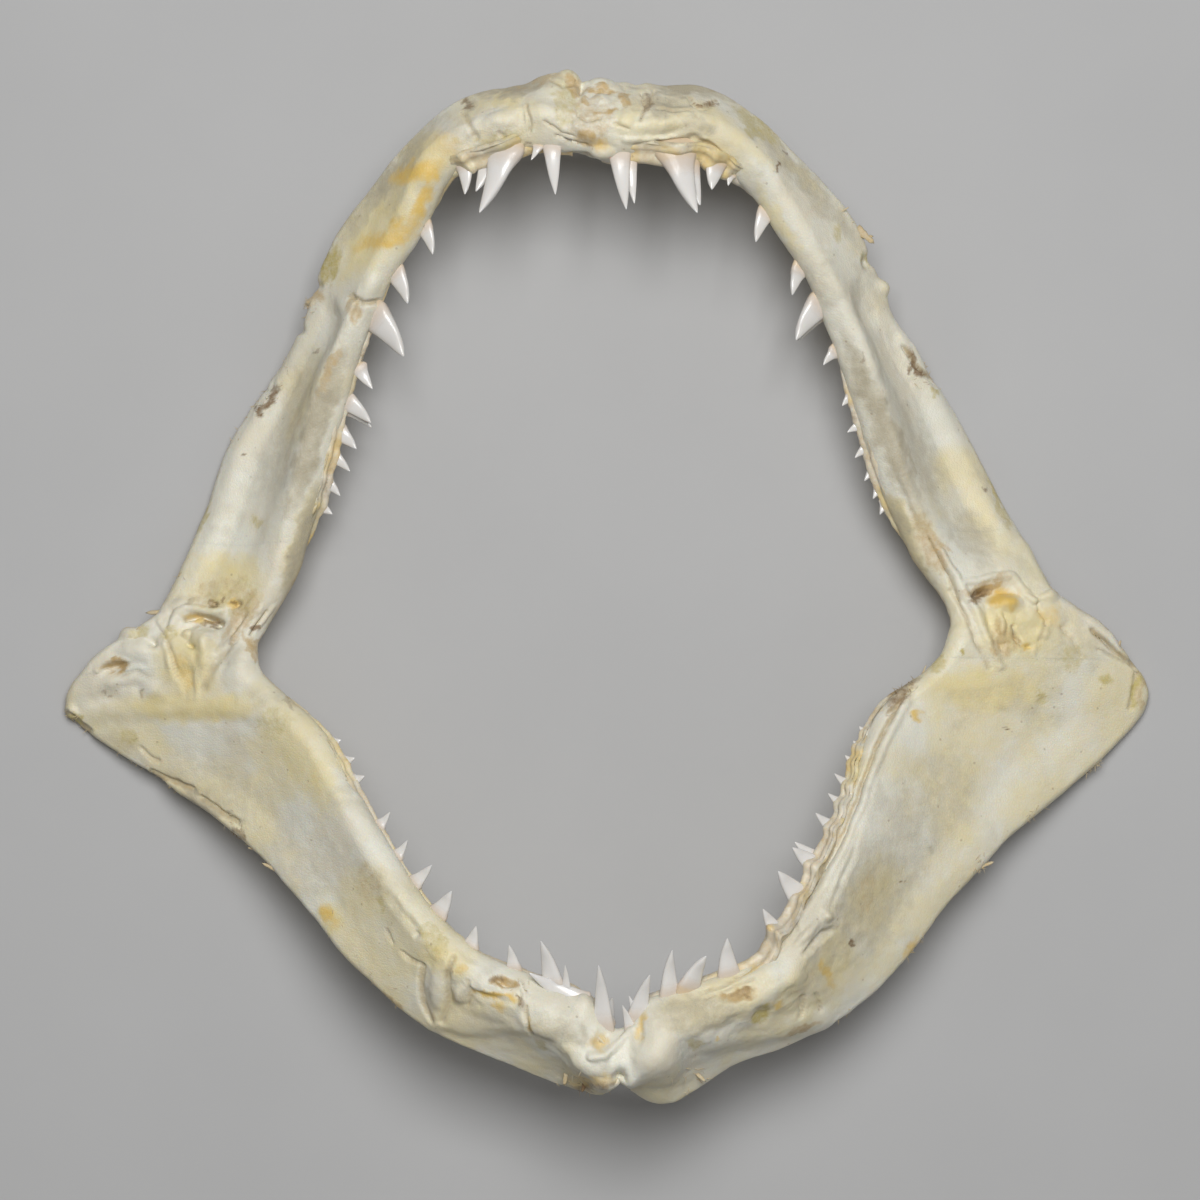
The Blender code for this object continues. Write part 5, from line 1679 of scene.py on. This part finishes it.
def strand(root, way, aside, length, thick, curl):
    """Rings and tip of one dried fibre."""
    rings = []
    up = way.cross(aside).normalized()
    for part in FIBRE_PARTS:
        sway = aside * (curl * length * part * part) + up * (0.25 * curl * length * part * part)
        middle = root + way * (length * part) + sway
        radius = 0.5 * thick * (1.0 - 0.75 * part)
        rings.append(thin_ring(middle, aside, up, radius, radius, 4))
    tip = root + way * length + aside * (curl * length) + up * (0.25 * curl * length)
    return rings, FIBRE_PARTS, tip


def leaf(root, way, aside, length, wide, thick, curl, rng):
    """Rings and tip of one torn tag: a thin leaf with uneven sides."""
    rings = []
    up = way.cross(aside).normalized()
    for part in LEAF_PARTS:
        middle = root + way * (length * part) + up * (curl * length * part * part)
        half_wide = 0.5 * wide * (1.0 - 0.55 * part) * rng.uniform(0.8, 1.15)
        rings.append(thin_ring(middle, aside, up, half_wide, 0.5 * thick * (1.0 - 0.5 * part), 8))
    tip = root + way * (length * 1.04) + up * (curl * length)
    return rings, LEAF_PARTS, tip


def seen_tree(piece, lowest):
    """The piece's points that face the camera, found by where the photograph shows them."""
    chosen = [v for v in piece.data.vertices if v.normal.z > lowest]
    tree = KDTree(len(chosen))
    spots = photo_places(np.array([tuple(v.co) for v in chosen]) / MM)
    for number, spot in enumerate(spots):
        tree.insert((*spot, 0.0), number)
    tree.balance()
    return tree, chosen


FIBRE_SINK = 0.4          # how deep the fibres and the tags are rooted in the cartilage
TAG_SINK = 1.0


def make_frays(half, cartilage, material):
    """Frayed fibres and torn tags of one half, each rooted in the cartilage."""
    rng = random.Random(half.seed + 100)
    tree, chosen = seen_tree(cartilage, -0.15)
    parts = []
    for _, middle_x, middle_y, reach, count, longest, curl in FRAYS[half.name]:
        for _ in range(count):
            x = middle_x + rng.gauss(0.0, 0.45) * reach
            y = middle_y + rng.gauss(0.0, 0.45) * reach
            vertex = chosen[tree.find((x, y, 0.0))[1]]
            normal = Vector(vertex.normal)
            aside = Vector((rng.gauss(0, 1), rng.gauss(0, 1), rng.gauss(0, 0.4)))
            way = (normal * rng.uniform(0.25, 0.8) + aside.normalized() * 0.8).normalized()
            aside = way.cross(normal).normalized()
            length = longest * rng.uniform(0.4, 1.2)
            root = vertex.co / MM - normal * FIBRE_SINK
            parts.append(strand(root, way, aside, length, rng.uniform(0.18, 0.42),
                                curl * rng.uniform(-0.7, 0.7)))
    for _, root_spot, tip_spot, wide, thick in TAGS[half.name]:
        root = chosen[tree.find((*root_spot, 0.0))[1]].co / MM
        tip = from_photo(*tip_spot, root.z + 0.6)
        way = (tip - root).normalized()
        length = (tip - root).length + TAG_SINK
        aside = way.cross(UP).normalized()
        aside = (aside + UP * rng.uniform(-0.4, 0.4)).normalized()
        aside = (aside - way * aside.dot(way)).normalized()
        parts.append(leaf(root - way * TAG_SINK, way, aside, length, wide, thick,
                          rng.uniform(-0.1, 0.3), rng))
    vertices, faces, _ = tooth_mesh(parts)
    flat = np.array([tuple(v) for v in vertices])
    flat[:, 2] = np.maximum(flat[:, 2], 0.05)
    shade = np.array([rng.random() for _ in range(len(flat))])
    spot = photo_places(flat)
    grit = np.zeros(len(flat))
    for stain_or_shade in STAINS_AND_SHADE["brown"]:
        wider = stain_or_shade._replace(long=stain_or_shade.long * 1.5, wide=stain_or_shade.wide * 1.5)
        grit = np.maximum(grit, oval_field(spot, wider))
    masks = {kind: np.zeros(len(flat)) for kind in STAINS_AND_SHADE}
    masks["tan"] = 0.3 + 0.4 * shade
    masks["brown"] = np.clip(grit * 1.6, 0.0, 1.0)
    piece = add_piece(f"frays_{half.name}", flat, faces, material, masks)
    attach(piece, "root")
    return piece


def colour(name, description, default):
    """A colour that a user may change."""
    return FloatVectorProperty(name=name, description=description, default=default,
                               subtype='COLOR', size=3)


class JawCartilageSettings(bpy.types.PropertyGroup):
    """Sizes and colours of the cartilages."""
    spacing: FloatProperty(name="Ring spacing", description="Room between two rings of points, "
                           "in millimetres", default=0.65, min=0.3, max=4.0)
    relief: FloatProperty(name="Relief", description="Strength of the uneven surface",
                          default=1.0, min=0.0, max=3.0)
    base: colour("Cartilage", "First colour of the cartilage", (0.80, 0.785, 0.675))
    shade: colour("Cartilage, shaded", "Second colour of the cartilage", (0.78, 0.73, 0.585))
    pale: colour("Bleached", "Whitest parts of the cartilage", (0.84, 0.83, 0.74))
    cream: colour("Cream", "Pale yellow of oily cartilage", (0.80, 0.69, 0.37))
    # Grey also serves as painted shade on walls, hollows, edges, in creases and under overhangs
    grey_and_painted_shade: colour("Grey", "Grey-green of thin cartilage", (0.48, 0.43, 0.31))
    tan: colour("Tan", "Colour of dried tissue", (0.56, 0.41, 0.20))
    olive: colour("Olive", "Greenish yellow stains", (0.56, 0.47, 0.18))
    ochre: colour("Ochre", "Deep yellow stains", (0.77, 0.54, 0.15))
    brown: colour("Brown", "Dark dried tissue and grit", (0.23, 0.145, 0.07))


class JawToothSettings(bpy.types.PropertyGroup):
    """Colours of the teeth."""
    enamel: colour("Enamel", "Colour of the crowns", (0.76, 0.74, 0.71))
    neck: colour("Neck", "Colour where a crown starts", (0.66, 0.58, 0.50))
    root: colour("Root", "Colour of the roots", (0.66, 0.53, 0.37))


class JawTissueSettings(bpy.types.PropertyGroup):
    """Sizes and colours of the dried tissue."""
    thick: FloatProperty(name="Thickness", description="How far the tissue stands off the "
                         "cartilage, in millimetres", default=0.3, min=0.1, max=3.0)
    glow: FloatProperty(name="Glow", description="How much light passes through the tissue",
                        default=0.25, min=0.0, max=1.0)
    gum: colour("Gum", "Colour of the dried gum", (0.80, 0.72, 0.57))
    stained: FloatProperty(name="Stained gum", description="How strongly the gum is stained",
                           default=0.4, min=0.0, max=1.0)
    fibre: colour("Fibre", "Colour of the frayed fibres", (0.66, 0.58, 0.42))


class JawStageSettings(bpy.types.PropertyGroup):
    """Floor and light."""
    floor: colour("Floor", "Colour of the floor", (0.47, 0.47, 0.47))
    key: FloatProperty(name="Key light", description="Power of the large soft light, in watts",
                       default=19.0, min=0.0, unit='POWER')
    fill: FloatProperty(name="Fill light", description="Power of the light from below, in watts",
                        default=0.8, min=0.0, unit='POWER')


class JAW_OT_cartilages(bpy.types.Operator):
    """Make the four cartilages."""
    bl_idname = "shark_jaw.cartilages"
    bl_label = "Make cartilages"

    def execute(self, context):
        material = dried_finish("dried_cartilage", rough=0.5, glow=0.25, tiles=0.3)
        for half in HALVES:
            make_cartilage(half, material)
        return {'FINISHED'}


class JAW_OT_teeth(bpy.types.Operator):
    """Make the standing, ready and lying teeth."""
    bl_idname = "shark_jaw.teeth"
    bl_label = "Make teeth"

    def execute(self, context):
        material = tooth_finish(context.scene.jaw_teeth)
        for half in HALVES:
            make_teeth(half, material)
        return {'FINISHED'}


class JAW_OT_gums(bpy.types.Operator):
    """Make the dried gums along the tooth margins."""
    bl_idname = "shark_jaw.gums"
    bl_label = "Make gums"

    def execute(self, context):
        material = dried_finish("dried_gum", rough=0.42, glow=0.3, tiles=0.1,
                                own_colour=context.scene.jaw_tissue.gum)
        for half in HALVES:
            make_gum(half, material)
        return {'FINISHED'}


class JAW_OT_ligaments(bpy.types.Operator):
    """Make the dried ligaments of the two joints."""
    bl_idname = "shark_jaw.ligaments"
    bl_label = "Make joint ligaments"

    def execute(self, context):
        glow = context.scene.jaw_tissue.glow
        material = dried_finish("dried_ligament", rough=0.48, glow=glow, tiles=0.25)
        u, side = ring_steps(*LIGAMENT_STEPS)
        for name, upper, lower in (("left", UPPER_LEFT, LOWER_LEFT),
                                   ("right", UPPER_RIGHT, LOWER_RIGHT)):
            keys = sleeve_rings(upper, lower, *LIGAMENT_PLACES, u, side)
            make_sleeve(f"ligament_{name}", keys, u, side, material,
                        f"joint_ligament_{name}")
        return {'FINISHED'}


class JAW_OT_symphyses(bpy.types.Operator):
    """Make the dried tissue between the two sides."""
    bl_idname = "shark_jaw.symphyses"
    bl_label = "Make symphyses"

    def execute(self, context):
        glow = context.scene.jaw_tissue.glow
        material = dried_finish("dried_symphysis", rough=0.47, glow=glow, tiles=0.25)
        u, side = ring_steps(*SYMPHYSIS_STEPS)
        for name, right, left in (("upper", UPPER_RIGHT, UPPER_LEFT),
                                  ("lower", LOWER_RIGHT, LOWER_LEFT)):
            keys = sleeve_rings(right, left, *SYMPHYSIS_PLACES, u, side)
            make_sleeve(f"symphysis_{name}", keys, u, side, material,
                        f"{name}_symphysis")
        return {'FINISHED'}


class JAW_OT_frays(bpy.types.Operator):
    """Make the frayed fibres and torn tags along the edges."""
    bl_idname = "shark_jaw.frays"
    bl_label = "Make frayed tissue"

    def execute(self, context):
        material = dried_finish("frayed_tissue", rough=0.6, glow=0.2, tiles=0.0,
                                own_colour=context.scene.jaw_tissue.fibre)
        for half in HALVES:
            cartilage = bpy.data.objects.get(f"cartilage_{half.name}")
            if cartilage is None:
                raise RuntimeError("make the cartilages first")
            make_frays(half, cartilage, material)
        return {'FINISHED'}


class JAW_OT_stage(bpy.types.Operator):
    """Lay the floor and set the camera and the lights."""
    bl_idname = "shark_jaw.stage"
    bl_label = "Set the stage"

    def execute(self, context):
        settings = context.scene.jaw_stage
        make_floor(settings)
        make_camera()
        make_light("key_light", KEY_PLACE, KEY_SIZE, settings.key)
        make_light("fill_light", FILL_PLACE, FILL_SIZE, settings.fill)
        make_world()
        return {'FINISHED'}


FLOOR_HALF = 6000.0       # half the floor's side


def make_floor(settings):
    """A wide plain floor."""
    material, nodes, shader = principled("plain_floor")
    place = nodes.place()
    shade = nodes.spread(nodes.noise(place, 90.0, 3.0), 0.3, 0.7)
    colour = nodes.mix(shade, settings.floor, tuple(0.97 * c for c in settings.floor))
    nodes.fill(shader.inputs["Base Color"], colour)
    shader.inputs["Roughness"].default_value = 0.75
    corners = [(x * FLOOR_HALF, y * FLOOR_HALF, 0.0)
               for x, y in ((-1.0, -1.0), (1.0, -1.0), (1.0, 1.0), (-1.0, 1.0))]
    floor = add_piece("floor", corners, [(0, 1, 2, 3)], material, smooth_faces=False)


def make_camera():
    """The photograph's camera, straight above the jaw."""
    data = bpy.data.cameras.new("photo_camera")
    data.sensor_width = SENSOR
    data.lens = SENSOR * CAMERA_HEIGHT / (PHOTO_SIDE * PHOTO_PIXEL)
    data.clip_start = 0.01
    data.clip_end = 50.0
    camera = bpy.data.objects.new("photo_camera", data)
    camera.location = Vector((CAMERA_X, CAMERA_Y, CAMERA_HEIGHT)) * MM
    bpy.context.scene.collection.objects.link(camera)
    bpy.context.scene.camera = camera


# The lights, in metres
KEY_PLACE = Vector((0.04, 0.38, 1.45))
KEY_SIZE = 0.7
FILL_PLACE = Vector((0.5, -0.5, 1.3))
FILL_SIZE = 1.2
LIT_POINT = Vector((0.0, 0.0, 0.03))
SKY_COLOUR = (0.84, 0.83, 0.82, 1.0)
SKY_STRENGTH = 0.12


def make_light(name, place, size, power):
    """A large square light at a place in metres, turned to the jaw."""
    data = bpy.data.lights.new(name, 'AREA')
    data.size = size
    data.energy = power
    light = bpy.data.objects.new(name, data)
    light.location = place
    light.rotation_euler = (LIT_POINT - place).to_track_quat('-Z', 'Y').to_euler()
    bpy.context.scene.collection.objects.link(light)


def make_world():
    """Soft even light from all round, and colours shown as they are."""
    world = bpy.data.worlds.new("studio")
    world.use_nodes = True
    background = world.node_tree.nodes["Background"]
    background.inputs["Color"].default_value = SKY_COLOUR
    background.inputs["Strength"].default_value = SKY_STRENGTH
    bpy.context.scene.world = world
    bpy.context.scene.view_settings.view_transform = 'Standard'


class JAW_PT_panel(bpy.types.Panel):
    """Lists what the jaw is built of."""
    bl_idname = "JAW_PT_panel"
    bl_label = "Shark Jaw"
    bl_space_type = 'VIEW_3D'
    bl_region_type = 'UI'
    bl_category = "Shark Jaw"

    def draw(self, context):
        layout = self.layout
        for settings, operators in PANEL_ROWS:
            group = getattr(context.scene, settings)
            box = layout.box()
            for name in group.__annotations__:
                box.prop(group, name)
            for operator in operators:
                box.operator(operator)


PANEL_ROWS = (
    ("jaw_cartilage", ("shark_jaw.cartilages",)),
    ("jaw_teeth", ("shark_jaw.teeth",)),
    ("jaw_tissue", ("shark_jaw.gums", "shark_jaw.ligaments", "shark_jaw.symphyses",
                    "shark_jaw.frays")),
    ("jaw_stage", ("shark_jaw.stage",)),
)
SETTINGS = (("jaw_cartilage", JawCartilageSettings), ("jaw_teeth", JawToothSettings),
            ("jaw_tissue", JawTissueSettings), ("jaw_stage", JawStageSettings))
CLASSES = (JawCartilageSettings, JawToothSettings, JawTissueSettings, JawStageSettings,
           JAW_OT_cartilages, JAW_OT_teeth, JAW_OT_gums, JAW_OT_ligaments, JAW_OT_symphyses,
           JAW_OT_frays, JAW_OT_stage, JAW_PT_panel)


def register():
    """Make Blender know the settings, the operators and the panel."""
    for item in CLASSES:
        bpy.utils.register_class(item)
    for name, group in SETTINGS:
        setattr(bpy.types.Scene, name, PointerProperty(type=group))


def unregister():
    """Take them away again."""
    for name, _ in SETTINGS:
        delattr(bpy.types.Scene, name)
    for item in reversed(CLASSES):
        bpy.utils.unregister_class(item)


def main():
    """Build the whole jaw."""
    register()
    bpy.ops.shark_jaw.stage()
    bpy.ops.shark_jaw.cartilages()
    bpy.ops.shark_jaw.teeth()
    bpy.ops.shark_jaw.gums()
    bpy.ops.shark_jaw.ligaments()
    bpy.ops.shark_jaw.symphyses()
    bpy.ops.shark_jaw.frays()


if __name__ == "__main__":
    main()
